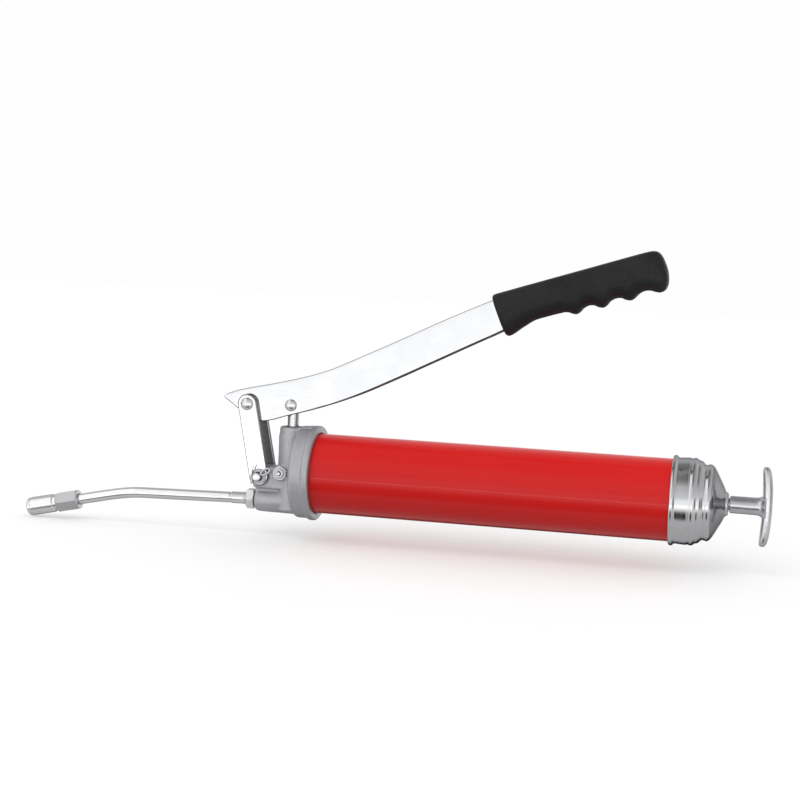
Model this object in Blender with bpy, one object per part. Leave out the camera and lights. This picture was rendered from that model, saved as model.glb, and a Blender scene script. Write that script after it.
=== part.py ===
# Lever-action grease gun, built as an assembly of separate pieces.
#
# Working axes, in millimetres, before the whole gun is placed in the world:
#   X runs along the barrel, from the pump head towards the T-handle
#   Z runs up, along the pump plunger; the lever swings in the X-Z plane
#   -Y is the near side, +Y the far side
#   the origin is on the barrel's centre line, at the rear face of the pump head's rim
# The root empty then carries the gun so that the world origin is at the middle
# of the bottom of its bounding box.

import math

import bmesh
import bpy
from mathutils import Matrix, Vector

for old in list(bpy.data.objects):
    bpy.data.objects.remove(old)

# ---------------------------------------------------------------- shared dimensions
MM = 0.001
BIG, SMALL = 36, 18        # sides of a large and of a small round piece

ORIGIN = (0, 0, 0)
X_AXIS, Y_AXIS, Z_AXIS = (1, 0, 0), (0, 1, 0), (0, 0, 1)
NEAR = (0, -1, 0)

BARREL_R = 28.5            # 57 mm tube, for a 400 g cartridge
BARREL_WALL = 1.2
BARREL_X0, BARREL_X1 = -8.9, 262.0

PLUNGER_X = -20.9          # centre line of the pump bore
PLUNGER_AT = (PLUNGER_X, 0, 0)
PLUNGER_R = 4.0
BOSS_TOP = 32.3            # top of the boss round the pump bore

OUTLET_Z = -22.0           # centre line of the outlet boss
OUTLET_AT = (0, 0, OUTLET_Z)

EAR_HALF = 9.0             # half width of the fulcrum lug between the two links
LINK_IN, LINK_OUT = 9.6, 12.0            # inner and outer faces of a link, from the middle
PIVOT_A = Vector((-41.8, 0.0, -4.0))     # link to pump head
PIVOT_B = Vector((-52.4, 0.0, 47.5))     # link to lever
PIVOT_C = Vector((PLUNGER_X, 0.0, 48.2)) # lever to plunger
PIN_R = 3.0
PLUNGER_PIN_R = 2.5
PIN_HOLE_R = PIN_R + 0.3
PLUNGER_PIN_HOLE_R = PLUNGER_PIN_R + 0.3
PIN_GAP = 0.25             # clearance in the slot, under rivet heads and beside the spacers

LEVER_HALF = 8.0           # half width of the lever channel
LEVER_T = 2.0              # its sheet thickness

BLEED = Vector((-26.0, -EAR_HALF, -0.6))  # bleed valve, on the near face of the lug


# ---------------------------------------------------------------- materials
def material(name, colour, rough, metal):
    mat = bpy.data.materials.new(name)
    mat.use_nodes = True
    shader = mat.node_tree.nodes["Principled BSDF"]
    shader.inputs["Base Color"].default_value = (*colour, 1.0)
    shader.inputs["Roughness"].default_value = rough
    shader.inputs["Metallic"].default_value = metal
    mat.diffuse_color = (*colour, 1.0)
    return mat


RED = material("red_enamel", colour=(0.62, 0.02, 0.02), rough=0.22, metal=0.0)
CAST = material("cast_alloy", colour=(0.56, 0.56, 0.57), rough=0.45, metal=0.9)
CHROME = material("bright_chrome", colour=(0.86, 0.87, 0.88), rough=0.08, metal=1.0)
ZINC = material("zinc_plate", colour=(0.70, 0.71, 0.73), rough=0.25, metal=1.0)
STEEL = material("bright_steel", colour=(0.66, 0.66, 0.67), rough=0.3, metal=1.0)
SPRING_STEEL = material("spring_steel", colour=(0.32, 0.32, 0.34), rough=0.4, metal=1.0)
RUBBER = material("black_rubber", colour=(0.02, 0.02, 0.02), rough=0.6, metal=0.0)
GRIP_VINYL = material("black_vinyl", colour=(0.012, 0.012, 0.013), rough=0.5, metal=0.0)


# ---------------------------------------------------------------- points and curves
def in_plane(points):
    """Lifts (x, z) pairs into the X-Z plane."""
    return [Vector((x, 0, z)) for x, z in points]


def arc(x, z, radius, start, end, steps):
    """Points on an arc in X-Z, angles in degrees."""
    angles = [math.radians(start + (end - start) * i / steps) for i in range(steps + 1)]
    return [(x + radius * math.cos(a), z + radius * math.sin(a)) for a in angles]


def circle(centre, side, tangent, radius, sides):
    """Points round a centre, square to the tangent, starting on the side direction."""
    across = tangent.cross(side)
    angles = [2 * math.pi * k / sides for k in range(sides)]
    return [
        centre + side * (radius * math.cos(a)) + across * (radius * math.sin(a)) for a in angles
    ]


def smooth_line(knots, steps):
    """A Catmull-Rom curve through the knots, with this many steps to each span."""
    k = [knots[0] * 2 - knots[1]] + knots + [knots[-1] * 2 - knots[-2]]
    points = []
    for p0, p1, p2, p3 in zip(k, k[1:], k[2:], k[3:]):
        for j in range(steps):
            t = j / steps
            points.append(0.5 * (
                (2 * p1) + (p2 - p0) * t
                + (2 * p0 - 5 * p1 + 4 * p2 - p3) * t * t
                + (3 * p1 - p0 - 3 * p2 + p3) * t ** 3
            ))
    points.append(knots[-1])
    return points


def interp(table, x):
    """Value read from a table of (x, value), straight between the entries."""
    if x <= table[0][0]:
        return table[0][1]
    for (x0, z0), (x1, z1) in zip(table, table[1:]):
        if x <= x1:
            return z0 + (z1 - z0) * (x - x0) / (x1 - x0)
    return table[-1][1]


def signed_power(value, power):
    return math.copysign(abs(value) ** power, value)


def frame_of(axis, at, side=None):
    """Rotation and place that carry local +X to the axis and local +Z to the side."""
    x = Vector(axis).normalized()
    z = Vector(side) if side else Vector(Y_AXIS if abs(x.y) < 0.9 else Z_AXIS)
    z = (z - x * z.dot(x)).normalized()
    y = z.cross(x)
    rotation = Matrix((x, y, z)).transposed().to_4x4()
    return Matrix.Translation(Vector(at)) @ rotation


# ---------------------------------------------------------------- shape tools
def finish(bm, name, mat=None):
    bmesh.ops.remove_doubles(bm, verts=bm.verts, dist=1e-4)
    bmesh.ops.recalc_face_normals(bm, faces=bm.faces)
    mesh = bpy.data.meshes.new(name)
    bm.to_mesh(mesh)
    bm.free()
    obj = bpy.data.objects.new(name, mesh)
    bpy.context.scene.collection.objects.link(obj)
    if mat:
        mesh.materials.append(mat)
    return obj


def combine(obj, how, *others):
    """Applies a boolean with each of the other pieces, which are used up."""
    for other in others:
        mod = obj.modifiers.new(how.lower(), "BOOLEAN")
        mod.operation = how
        mod.solver = "EXACT"
        mod.object = other
    bpy.context.view_layer.update()
    graph = bpy.context.evaluated_depsgraph_get()
    mesh = bpy.data.meshes.new_from_object(obj.evaluated_get(graph))
    obj.modifiers.clear()
    old_mesh = obj.data
    obj.data = mesh
    bpy.data.meshes.remove(old_mesh)
    mesh.name = obj.name
    for other in others:
        bpy.data.objects.remove(other)
    return obj


def cut(obj, *others):
    return combine(obj, "DIFFERENCE", *others)


def join(obj, *others):
    return combine(obj, "UNION", *others)


def turned(name, profile, mat=None, axis=X_AXIS, at=ORIGIN, sides=SMALL, ring=False, side=None):
    """A turned piece. The profile is (distance along axis, radius); ring closes it into a loop."""
    bm = bmesh.new()
    verts = [bm.verts.new((a, 0.0, r)) for a, r in profile]
    edges = [bm.edges.new(pair) for pair in zip(verts, verts[1:])]
    if ring:
        edges.append(bm.edges.new((verts[-1], verts[0])))
    bmesh.ops.spin(
        bm, geom=verts + edges, cent=ORIGIN, axis=X_AXIS,
        angle=2 * math.pi, steps=sides, use_merge=True,
    )
    bmesh.ops.remove_doubles(bm, verts=bm.verts, dist=1e-4)
    # A flat end becomes one face, without a vertex in the middle.
    discs = {
        round(end[0], 4)
        for end, rim in ((profile[0], profile[1]), (profile[-1], profile[-2]))
        if end[1] == 0 and end[0] == rim[0]
    }
    hubs = [
        v for v in bm.verts
        if math.hypot(v.co.y, v.co.z) < 1e-4 and round(v.co.x, 4) in discs
    ]
    bmesh.ops.dissolve_verts(bm, verts=hubs)
    bmesh.ops.transform(bm, matrix=frame_of(axis, at, side), verts=bm.verts)
    return finish(bm, name, mat)


def bar(a0, a1, radius):
    """Profile of a plain round bar."""
    return [(a0, 0), (a0, radius), (a1, radius), (a1, 0)]


def cylinder(a0, a1, radius, axis=X_AXIS, at=ORIGIN, sides=SMALL, side=None):
    """A plain round bar to cut with or to join on."""
    return turned("cylinder", bar(a0, a1, radius), None, axis, at, sides, side=side)


def washer(name, a0, a1, inner, outer, mat, axis=X_AXIS, at=ORIGIN, sides=SMALL):
    """A flat ring from a0 to a1 along the axis."""
    profile = [(a0, inner), (a0, outer), (a1, outer), (a1, inner)]
    return turned(name, profile, mat, axis, at, sides, ring=True)


def extrude(bm, points, offset):
    face = bm.faces.new([bm.verts.new(p) for p in points])
    out = bmesh.ops.extrude_face_region(bm, geom=[face])
    moved = [v for v in out["geom"] if isinstance(v, bmesh.types.BMVert)]
    bmesh.ops.translate(bm, verts=moved, vec=offset)


def slab(name, outline, y0, y1, mat=None):
    """An outline in X-Z, extruded from y0 to y1."""
    bm = bmesh.new()
    extrude(bm, [(x, y0, z) for x, z in outline], (0, y1 - y0, 0))
    return finish(bm, name, mat)


def hexagon(name, a0, a1, flats, chamfer, mat, axis=X_AXIS, at=ORIGIN,
            hole=0.0, side=None, turn=math.pi / 6):
    """A hexagonal piece along an axis; its corners are cut back by a cone at both ends."""
    corner = flats / math.sqrt(3.0)
    angles = [turn + i * math.pi / 3 for i in range(6)]
    bm = bmesh.new()
    extrude(bm, [(a0, corner * math.cos(a), corner * math.sin(a)) for a in angles],
            (a1 - a0, 0, 0))
    bmesh.ops.transform(bm, matrix=frame_of(axis, at, side), verts=bm.verts)
    obj = finish(bm, name, mat)
    face_r = flats / 2 - 0.1
    belly_r = corner + 0.2
    cone = turned("cone", [
        (a0 - 0.01, 0), (a0 - 0.01, face_r), (a0 + chamfer, belly_r),
        (a1 - chamfer, belly_r), (a1 + 0.01, face_r), (a1 + 0.01, 0),
    ], None, axis, at, 24, side=side)
    combine(obj, "INTERSECT", cone)
    if hole:
        cut(obj, cylinder(a0 - 2, a1 + 2, hole, axis, at, side=side))
    return obj


def add_rings(bm, sections):
    return [[bm.verts.new(p) for p in section] for section in sections]


def skin(bm, rings):
    """Joins each ring of vertices to the next with a band of quads."""
    for a, b in zip(rings, rings[1:]):
        count = len(a)
        for k in range(count):
            bm.faces.new((a[k], a[(k + 1) % count], b[(k + 1) % count], b[k]))


def loft(name, sections, mat=None):
    """A solid skinned over a row of sections, with a flat face at both ends."""
    bm = bmesh.new()
    rings = add_rings(bm, sections)
    skin(bm, rings)
    bm.faces.new(rings[0])
    bm.faces.new(rings[-1])
    return finish(bm, name, mat)


def sweep(name, points, radii, mat, sides, bore=0.0, up=Y_AXIS):
    """A round bar, or a tube if it has a bore, along points, with one radius for each."""
    side = Vector(up)
    outer, inner = [], []
    for i, p in enumerate(points):
        tangent = (points[min(i + 1, len(points) - 1)] - points[max(i - 1, 0)]).normalized()
        side = (side - tangent * side.dot(tangent)).normalized()
        outer.append(circle(p, side, tangent, radii[i], sides))
        inner.append(circle(p, side, tangent, bore, sides))
    if not bore:
        return loft(name, outer, mat)
    bm = bmesh.new()
    outer, inner = add_rings(bm, outer), add_rings(bm, inner)
    skin(bm, outer)
    skin(bm, inner)
    for end in (0, -1):
        skin(bm, (outer[end], inner[end]))
    return finish(bm, name, mat)


def coil(name, x0, x1, mean_r, wire_r, turns, per_turn, sides=5, axis=X_AXIS, at=ORIGIN):
    """A compression spring along an axis, its wire ends inside x0 and x1."""
    place = frame_of(axis, at)
    count = int(turns * per_turn)
    points = []
    for i in range(count + 1):
        t = i / count
        a = 2 * math.pi * turns * t
        x = x0 + wire_r + (x1 - x0 - 2 * wire_r) * t
        points.append(place @ Vector((x, mean_r * math.cos(a), mean_r * math.sin(a))))
    return sweep(name, points, [wire_r] * len(points), SPRING_STEEL, sides, up=axis)


def rivet(name, half, radius, head_r, at):
    """A pin with a domed head at both ends, lying along Y; half is half the grip between heads."""
    head_h = 2.2
    start = half + PIN_GAP
    angles = [math.pi / 2 * i / 3 for i in range(3)]
    far = [(start, radius)]
    far += [(start + head_h * math.sin(a), head_r * math.cos(a)) for a in angles]
    far.append((start + head_h, 0))
    near = [(-a, r) for a, r in reversed(far)]
    return turned(name, near + far, CHROME, Y_AXIS, at)


# ---------------------------------------------------------------- slot for the link's lower pin
LEVER_MIN, LEVER_MAX = -13.0, 40.0       # degrees, handle down and handle up
PLUNGER_PER_RAD = 30.0     # mm of plunger travel per radian of lever
LINK_PER_LEVER = -1.15     # link turn per lever turn, so the link stays nearly upright
PATH_STEPS = 53


def turn_in_plane(v, angle):
    """X and Z of a vector turned from X towards Z."""
    c, s = math.cos(angle), math.sin(angle)
    return v.x * c - v.z * s, v.x * s + v.z * c


def lower_pin_path():
    """Where the link's lower pin goes as the lever swings, from its place at rest."""
    path = []
    for i in range(PATH_STEPS + 1):
        angle = math.radians(LEVER_MIN + (LEVER_MAX - LEVER_MIN) * i / PATH_STEPS)
        arm_x, arm_z = turn_in_plane(PIVOT_B - PIVOT_C, angle)
        leg_x, leg_z = turn_in_plane(PIVOT_A - PIVOT_B, angle * (1 + LINK_PER_LEVER))
        path.append((
            PIVOT_C.x + arm_x + leg_x - PIVOT_A.x,
            PIVOT_C.z + PLUNGER_PER_RAD * angle + arm_z + leg_z - PIVOT_A.z,
        ))
    return path


def pin_slot():
    """A level slot through the lug that clears the pin all along its path."""
    path = lower_pin_path()
    room = 0.05 + max(abs(z) for _, z in path)
    radius = PIN_R + PIN_GAP + room
    back = max(0.0, max(-x - math.sqrt(room * room - z * z) for x, z in path))
    front = max(0.0, max(x - math.sqrt(room * room - z * z) for x, z in path))
    outline = (
        arc(PIVOT_A.x + front, PIVOT_A.z, radius, -90, 90, 8)
        + arc(PIVOT_A.x - back, PIVOT_A.z, radius, 90, 270, 8)
    )
    return slab("slot", outline, -12, 12)


# ---------------------------------------------------------------- pump head
HEAD_R = 32.6              # collar that the barrel screws into
RIM_R = 33.9
HEAD_X0 = -15.0            # front face of the collar
HEAD_BORE_R = 28.8
HEAD_SEAT_X = -11.0        # bottom of the collar's bore
BORE_R = 4.25              # pump bore
BORE_BOTTOM = -25.2
BOSS_R = 9.6
OUTLET_X = -46.5           # front face of the outlet boss
EAR_TOP = 2.8
EAR_FOOT = -12.8           # a groove parts the lug from the outlet boss below it
WEB_X0, WEB_X1 = -45.4, HEAD_X0 + 1
WEB_TOP, WEB_FOOT = -8.0, -20.0


def pump_head():
    collar = turned("pump_head", [
        (HEAD_X0, 0), (HEAD_X0, HEAD_R - 2.2), (HEAD_X0 + 0.8, HEAD_R - 0.8),
        (HEAD_X0 + 2.4, HEAD_R - 0.1), (-4.6, HEAD_R), (-4.0, RIM_R - 0.3), (-3.2, RIM_R),
        (-0.8, RIM_R), (0, RIM_R - 0.8), (0, HEAD_BORE_R + 0.6), (-0.6, HEAD_BORE_R),
        (HEAD_SEAT_X, HEAD_BORE_R), (HEAD_SEAT_X, 0),
    ], CAST, sides=BIG)
    boss = turned("boss", [
        (-28, 0), (-28, BOSS_R), (BOSS_TOP - 1.0, BOSS_R), (BOSS_TOP, BOSS_R - 1.0), (BOSS_TOP, 0),
    ], None, Z_AXIS, PLUNGER_AT, 28)
    outlet = turned("outlet", [
        (OUTLET_X, 0), (OUTLET_X, 6.6), (OUTLET_X + 1.2, 7.8), (HEAD_X0 + 2, 8.8), (HEAD_X0 + 2, 0),
    ], None, X_AXIS, OUTLET_AT, 24)
    ear = slab("ear", (
        [(PLUNGER_X, EAR_TOP), (PIVOT_A.x, EAR_TOP)]
        + arc(PIVOT_A.x, PIVOT_A.z, 6.8, 97, 180, 7)
        + [(-46.6, -10.5), (-46.2, EAR_FOOT), (PLUNGER_X, EAR_FOOT)]
    ), -EAR_HALF, EAR_HALF)
    # The rib joins the boss to the collar along the top, the web joins lug and outlet below.
    rib = slab("rib", [
        (PLUNGER_X, 20.0), (PLUNGER_X, BOSS_TOP - 0.4), (-9.0, 33.3), (-3.6, 33.4),
        (-3.6, 31.0), (-12.0, 30.0), (-12.0, 20.0),
    ], -6.5, 6.5)
    web = slab("web", [
        (WEB_X1, WEB_TOP), (WEB_X0, WEB_TOP), (WEB_X0, WEB_FOOT), (WEB_X1, WEB_FOOT),
    ], -5.4, 5.4)
    bleed_pad = cylinder(-3, 0.7, 5.6, NEAR, BLEED)
    join(collar, boss, outlet, ear, rib, web, bleed_pad)

    pump_bore = cylinder(BORE_BOTTOM, 40, BORE_R, Z_AXIS, PLUNGER_AT)
    seal_seat = cylinder(BOSS_TOP - 3.4, 40, 6.3, Z_AXIS, PLUNGER_AT)
    outlet_bore = cylinder(-60, -33.5, 5.1, X_AXIS, OUTLET_AT)
    outlet_port = cylinder(-34, PLUNGER_X, 2.0, X_AXIS, OUTLET_AT, 16)
    inlet = cylinder(PLUNGER_X, -8, 3.0, X_AXIS, (0, 0, 3.0), 16)
    cut(collar, pump_bore, seal_seat, outlet_bore, outlet_port, inlet)
    cut(collar, pin_slot())
    return cut(collar, cylinder(-2, 3.2, 2.5, Y_AXIS, BLEED, 20))


head = pump_head()
plunger_seal = turned("plunger_seal", [
    (BOSS_TOP - 3.1, 4.3), (BOSS_TOP - 0.7, 4.3), (BOSS_TOP - 0.3, 4.7),
    (BOSS_TOP - 0.3, 6.0), (BOSS_TOP - 3.1, 6.0),
], RUBBER, Z_AXIS, PLUNGER_AT, ring=True)

# ---------------------------------------------------------------- outlet check valve
BALL_R = 3.0
BALL_AT = (-36.1, 0, OUTLET_Z)
CHECK_SPRING_X = -43.7     # its front end

BALL_ANGLES = [math.pi * i / 8 for i in range(9)]
check_ball = turned(
    "outlet_check_ball", [(-BALL_R * math.cos(a), BALL_R * math.sin(a)) for a in BALL_ANGLES],
    STEEL, X_AXIS, BALL_AT, 14)
check_spring = coil("outlet_check_spring", CHECK_SPRING_X, -39.4, mean_r=2.6, wire_r=0.3,
                    turns=3, per_turn=9, at=OUTLET_AT)


# ---------------------------------------------------------------- bleed valve
def bleed_valve_body():
    body = hexagon("bleed_valve_body", 1.0, 4.4, 9.6, 0.6, ZINC, NEAR, BLEED)
    join(body, cylinder(-2.6, 2.0, 2.2, NEAR, BLEED, 20))
    neck = [(3.0, 0), (3.0, 3.6), (5.2, 3.6), (5.6, 3.2), (5.6, 0)]
    join(body, turned("neck", neck, None, NEAR, BLEED, 20))
    return cut(body, cylinder(0.8, 8, 1.7, NEAR, BLEED, 16))


bleed_body = bleed_valve_body()
bleed_stem = turned("bleed_valve_stem", [(2.4, 0), (2.4, 1.4), (6.4, 1.4), (6.9, 0.9), (6.9, 0)],
                    STEEL, NEAR, BLEED, 16)

# ---------------------------------------------------------------- spout
SPOUT_R = 3.9
SPOUT_BORE_R = 1.7
SPOUT_END = 9.0            # how far the tube runs on inside the coupler, along X
COUPLER_REAR = Vector((-182.8, 0.0, -32.9))
COUPLER_SLOPE = math.radians(12.4)

# (x, z) along the tube: the straight start, with its stepped end, then the knots of the bend
SPOUT_START = [
    (-44.2, OUTLET_Z), (-55.8, -22.08), (-56.6, -22.1), (-66.0, -22.35), (-66.6, -22.37),
    (-96, -23.2),
]
SPOUT_BEND = [(-122, -23.9), (-134, -24.2), (-144, -25.0), (-154, -26.75), (-166, -29.3)]
START_RADII = [4.7, 4.7, 3.75, 3.75]     # at the first points; SPOUT_R from there on

spout_end = COUPLER_REAR - Vector((SPOUT_END, 0, math.tan(COUPLER_SLOPE) * SPOUT_END))
spout_line = in_plane(SPOUT_START) + smooth_line(in_plane(SPOUT_BEND), 2)
spout_line += [COUPLER_REAR, spout_end]
spout_radii = START_RADII + [SPOUT_R] * (len(spout_line) - len(START_RADII))
spout_tube = sweep("spout_tube", spout_line, spout_radii, STEEL, 16, SPOUT_BORE_R)
spout_nut = hexagon("spout_nut", -52.6, -46.9, 14.6, 1.0, ZINC,
                    at=(0, 0, OUTLET_Z - 0.1), hole=5.15)

# ---------------------------------------------------------------- coupler
# Distances run forwards and down from the coupler's rear face.
COUPLER_LEN = 40.6
COUPLER_AXIS = Vector((-math.cos(COUPLER_SLOPE), 0, -math.sin(COUPLER_SLOPE)))
COUPLER = {"axis": COUPLER_AXIS, "at": COUPLER_REAR}
SLIT_SIZE = (8.0, 0.8, 5.0)              # along, across and out from the axis
SLIT_CENTRE = (36.5, 0, 3.9)


def coupler_hexagon():
    body = hexagon("coupler_body", 0.0, 17.2, 13.6, 1.6, ZINC, **COUPLER)
    join(body, cylinder(16, 24.0, 5.0, **COUPLER))
    return cut(body,
               cylinder(-3, 10.2, 4.3, **COUPLER),
               cylinder(9, 30, 1.8, sides=16, **COUPLER))


def slit(degrees):
    """A block that cuts one slit in the collet's front end."""
    side = Matrix.Rotation(math.radians(degrees), 4, COUPLER_AXIS) @ Vector(Y_AXIS)
    bm = bmesh.new()
    bmesh.ops.create_cube(bm, size=1.0)
    bmesh.ops.scale(bm, vec=SLIT_SIZE, verts=bm.verts)
    bmesh.ops.translate(bm, verts=bm.verts, vec=SLIT_CENTRE)
    bmesh.ops.transform(bm, matrix=frame_of(COUPLER_AXIS, COUPLER_REAR, side), verts=bm.verts)
    return finish(bm, "slit")


def coupler_collet():
    collet = turned("coupler_collet", [
        (31.0, 2.4), (31.0, 5.0), (36.4, 5.0), (37.3, 4.1), (37.3, 2.9), (34.5, 2.4),
    ], STEEL, ring=True, **COUPLER)
    return cut(collet, *[slit(30 + 120 * i) for i in range(3)])


coupler_body = coupler_hexagon()
coupler_sleeve = turned("coupler_sleeve", [
    (17.6, 5.4), (17.6, 5.9), (19.2, 5.9), (19.6, 6.4), (20.0, 6.75), (39.2, 6.75),
    (COUPLER_LEN, 5.7), (COUPLER_LEN, 3.5), (37.6, 3.5), (37.6, 5.4),
], ZINC, sides=22, ring=True, **COUPLER)
collet = coupler_collet()
coupler_seal = washer("coupler_seal", 28.2, 30.6, 1.3, 4.6, RUBBER, sides=16, **COUPLER)
coupler_spring = coil("coupler_spring", 24.2, 28.0, mean_r=3.8, wire_r=0.35,
                      turns=2.5, per_turn=12, **COUPLER)

# ---------------------------------------------------------------- barrel and end cap
BARREL_BORE_R = BARREL_R - BARREL_WALL
BARREL_EDGE = 0.4          # chamfer at both ends
CAP_HOLE_R = 4.4

# (x, radius) over the outside of the cap, front to rear, then back along the inside
CAP_SKIN = [
    (250.2, 30.5), (250.9, 31.1), (252.5, 31.1), (253.8, 29.9), (262.5, 30.3), (265.4, 30.6),
    (267.0, 30.0), (269.4, 27.6), (273.4, 27.3), (276.4, 26.1), (278.8, 23.6), (281.9, 17.6),
    (284.7, 12.2), (287.8, 7.3), (289.2, 6.2),
]
CAP_INSIDE = [
    (289.2, CAP_HOLE_R), (286.4, CAP_HOLE_R), (283.2, 11.9), (280.4, 17.2), (277.6, 22.6),
    (275.6, 24.8), (268.6, 26.2), (264.6, 28.8), (250.2, 28.8),
]

barrel_tube = turned("barrel_tube", [
    (BARREL_X0, BARREL_BORE_R), (BARREL_X0, BARREL_R - BARREL_EDGE),
    (BARREL_X0 + BARREL_EDGE, BARREL_R), (BARREL_X1 - BARREL_EDGE, BARREL_R),
    (BARREL_X1, BARREL_R - BARREL_EDGE), (BARREL_X1, BARREL_BORE_R),
], RED, sides=BIG, ring=True)
barrel_gasket = washer("barrel_gasket", -10.7, -9.2, 24.6, 28.3, RUBBER, sides=BIG)
end_cap = turned("end_cap", CAP_SKIN + CAP_INSIDE, CHROME, sides=BIG, ring=True)

# ---------------------------------------------------------------- follower, its spring and rod
FOLLOWER_X = 4.8           # front face of the follower's hub
FOLLOWER_HOLE_R = 4.5
SPRING_X1 = 278.4          # rear end of the follower spring
ROD_R = 4.0
ROD_NECK_R = 2.9           # front end of the rod
ROD_TAIL_X = 290.6         # where the thinner tail starts
ROD_TAIL_R = 3.0

follower_cup = turned("follower_cup", [
    (FOLLOWER_X, FOLLOWER_HOLE_R), (FOLLOWER_X, 22.0), (3.4, 25.2), (3.6, 26.8), (9.0, 26.3),
    (20.0, 26.4), (23.8, 26.9), (24.0, 25.0), (20.5, 23.6), (9.0, 21.8), (9.0, FOLLOWER_HOLE_R),
], RUBBER, sides=28, ring=True)
follower_plate = turned("follower_plate", [
    (9.3, FOLLOWER_HOLE_R), (9.3, 20.6), (10.4, 21.5), (19.6, 22.5), (19.8, 21.4),
    (10.6, 20.2), (10.6, FOLLOWER_HOLE_R),
], ZINC, sides=28, ring=True)
follower_spring = coil("follower_spring", 10.9, SPRING_X1, mean_r=17.6, wire_r=1.2,
                       turns=11, per_turn=10)
follower_rod = turned("follower_rod", [
    (-2.6, 0), (-2.6, 2.4), (-2.0, ROD_NECK_R), (4.9, ROD_NECK_R), (4.9, ROD_R),
    (ROD_TAIL_X, ROD_R), (ROD_TAIL_X, ROD_TAIL_R), (305.6, ROD_TAIL_R), (306.2, 2.4), (306.2, 0),
], STEEL)
follower_washer = washer("follower_washer", 3.2, 4.5, 3.2, 9.0, ZINC)
follower_nut = hexagon("follower_nut", -1.8, 2.9, 10.0, 0.6, ZINC, hole=3.2, side=Z_AXIS, turn=0.0)

# ---------------------------------------------------------------- T-handle
T_X0 = 289.7               # front end of its stem
T_BAR_HALF = 27.2
T_BAR_STEPS = 12           # spans along the bar
T_BAR_SIDES = 12


def t_bar_section(u):
    """Section at u, from -1 to 1 along the bar; it is full in the middle and narrows outwards."""
    fill = 0.35 + 0.65 * math.sqrt(1 - abs(u) ** 5)
    inner = 312.0 - 1.4 * abs(u) ** 2.0
    outer = 318.4 - 3.0 * abs(u) ** 2.2
    middle = (inner + outer) / 2
    half_x = (outer - inner) / 2 * fill
    half_y = (6.2 - 1.6 * abs(u) ** 2) * fill
    angles = [2 * math.pi * k / T_BAR_SIDES for k in range(T_BAR_SIDES)]
    return [
        (middle + half_x * signed_power(math.cos(a), 0.8),
         half_y * signed_power(math.sin(a), 0.8),
         T_BAR_HALF * u)
        for a in angles
    ]


def t_bar():
    """The grip bar: a flat oval, thicker in the middle, with a crowned rear face."""
    bm = bmesh.new()
    rings = add_rings(bm, [
        t_bar_section(-math.cos(math.pi * i / T_BAR_STEPS)) for i in range(1, T_BAR_STEPS)
    ])
    skin(bm, rings)
    for ring, z in ((rings[0], -T_BAR_HALF), (rings[-1], T_BAR_HALF)):
        tip = bm.verts.new((sum(v.co.x for v in ring) / T_BAR_SIDES, 0, z))
        for k in range(T_BAR_SIDES):
            bm.faces.new((ring[k], ring[(k + 1) % T_BAR_SIDES], tip))
    return finish(bm, "t_bar")


t_handle = turned("t_handle", [
    (T_X0, 0), (T_X0, 5.3), (290.2, 5.9), (306.5, 5.9), (309.0, 6.3), (311.5, 7.2),
    (313.6, 8.2), (313.6, 0),
], ZINC, sides=24)
join(t_handle, t_bar())
cut(t_handle, cylinder(285, 306.6, 3.3, sides=20))
cut(t_handle, cylinder(285, 291.0, 4.3, sides=24))

# ---------------------------------------------------------------- plunger
PLUNGER_FOOT = -11.0
PLUNGER_TOP = PIVOT_C.z - 1

plunger_rod = turned("plunger_rod", [
    (PLUNGER_FOOT, 0), (PLUNGER_FOOT, PLUNGER_R - 0.5), (PLUNGER_FOOT + 0.5, PLUNGER_R),
    (PLUNGER_TOP, PLUNGER_R), (PLUNGER_TOP, 0),
], STEEL, Z_AXIS, PLUNGER_AT)
join(plunger_rod, turned("plunger_eye", [
    (-5.6, 0), (-5.6, 5.2), (-4.8, 6.0), (4.8, 6.0), (5.6, 5.2), (5.6, 0),
], None, Y_AXIS, PIVOT_C))
cut(plunger_rod, cylinder(-8, 8, PLUNGER_PIN_HOLE_R, Y_AXIS, PIVOT_C, 20))

# ---------------------------------------------------------------- lever
# (x, z) along the lever's top edge and along its foot
LEVER_TOP = [
    (-71.6, 51.5), (-69.6, 53.2), (-66.2, 54.7), (-62.0, 56.3), (-55.7, 58.0), (-46.0, 60.3),
    (-38.8, 61.9), (-26.0, 65.1), (-13.4, 68.5), (-4.0, 71.4), (5.3, 74.8), (16.0, 79.6),
    (27.9, 85.4), (48.2, 95.3), (63.0, 102.7), (78.2, 110.4), (98.1, 120.1), (110.0, 125.7),
    (120.2, 130.3), (132.0, 134.9), (230.0, 166.8),
]
LEVER_FOOT = [
    (-71.6, 51.2), (-65.2, 46.9), (-58.0, 41.8), (-52.0, 37.9), (-48.0, 36.2), (-43.5, 35.3),
    (-37.1, 36.1), (-22.9, 40.5), (-10.3, 44.1), (6.4, 49.6), (29.0, 58.7), (44.0, 65.9),
    (59.4, 73.6), (75.0, 81.6), (89.4, 89.0), (101.0, 95.0), (113.2, 101.2), (122.0, 105.6),
    (129.8, 109.8), (140.0, 116.2), (152.0, 121.8), (230.0, 147.2),
]
# x of each section
LEVER_STATIONS = [
    -70.8, -68.0, -64.5, -60.0, -53.0, -47.0, -42.0, -37.0, -22.0, -10.0, 0.0,
    10.0, 20.0, 30.0, 45.0, 60.0, 85.0, 112.0, 130.0, 150.0, 222.0,
]


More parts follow.
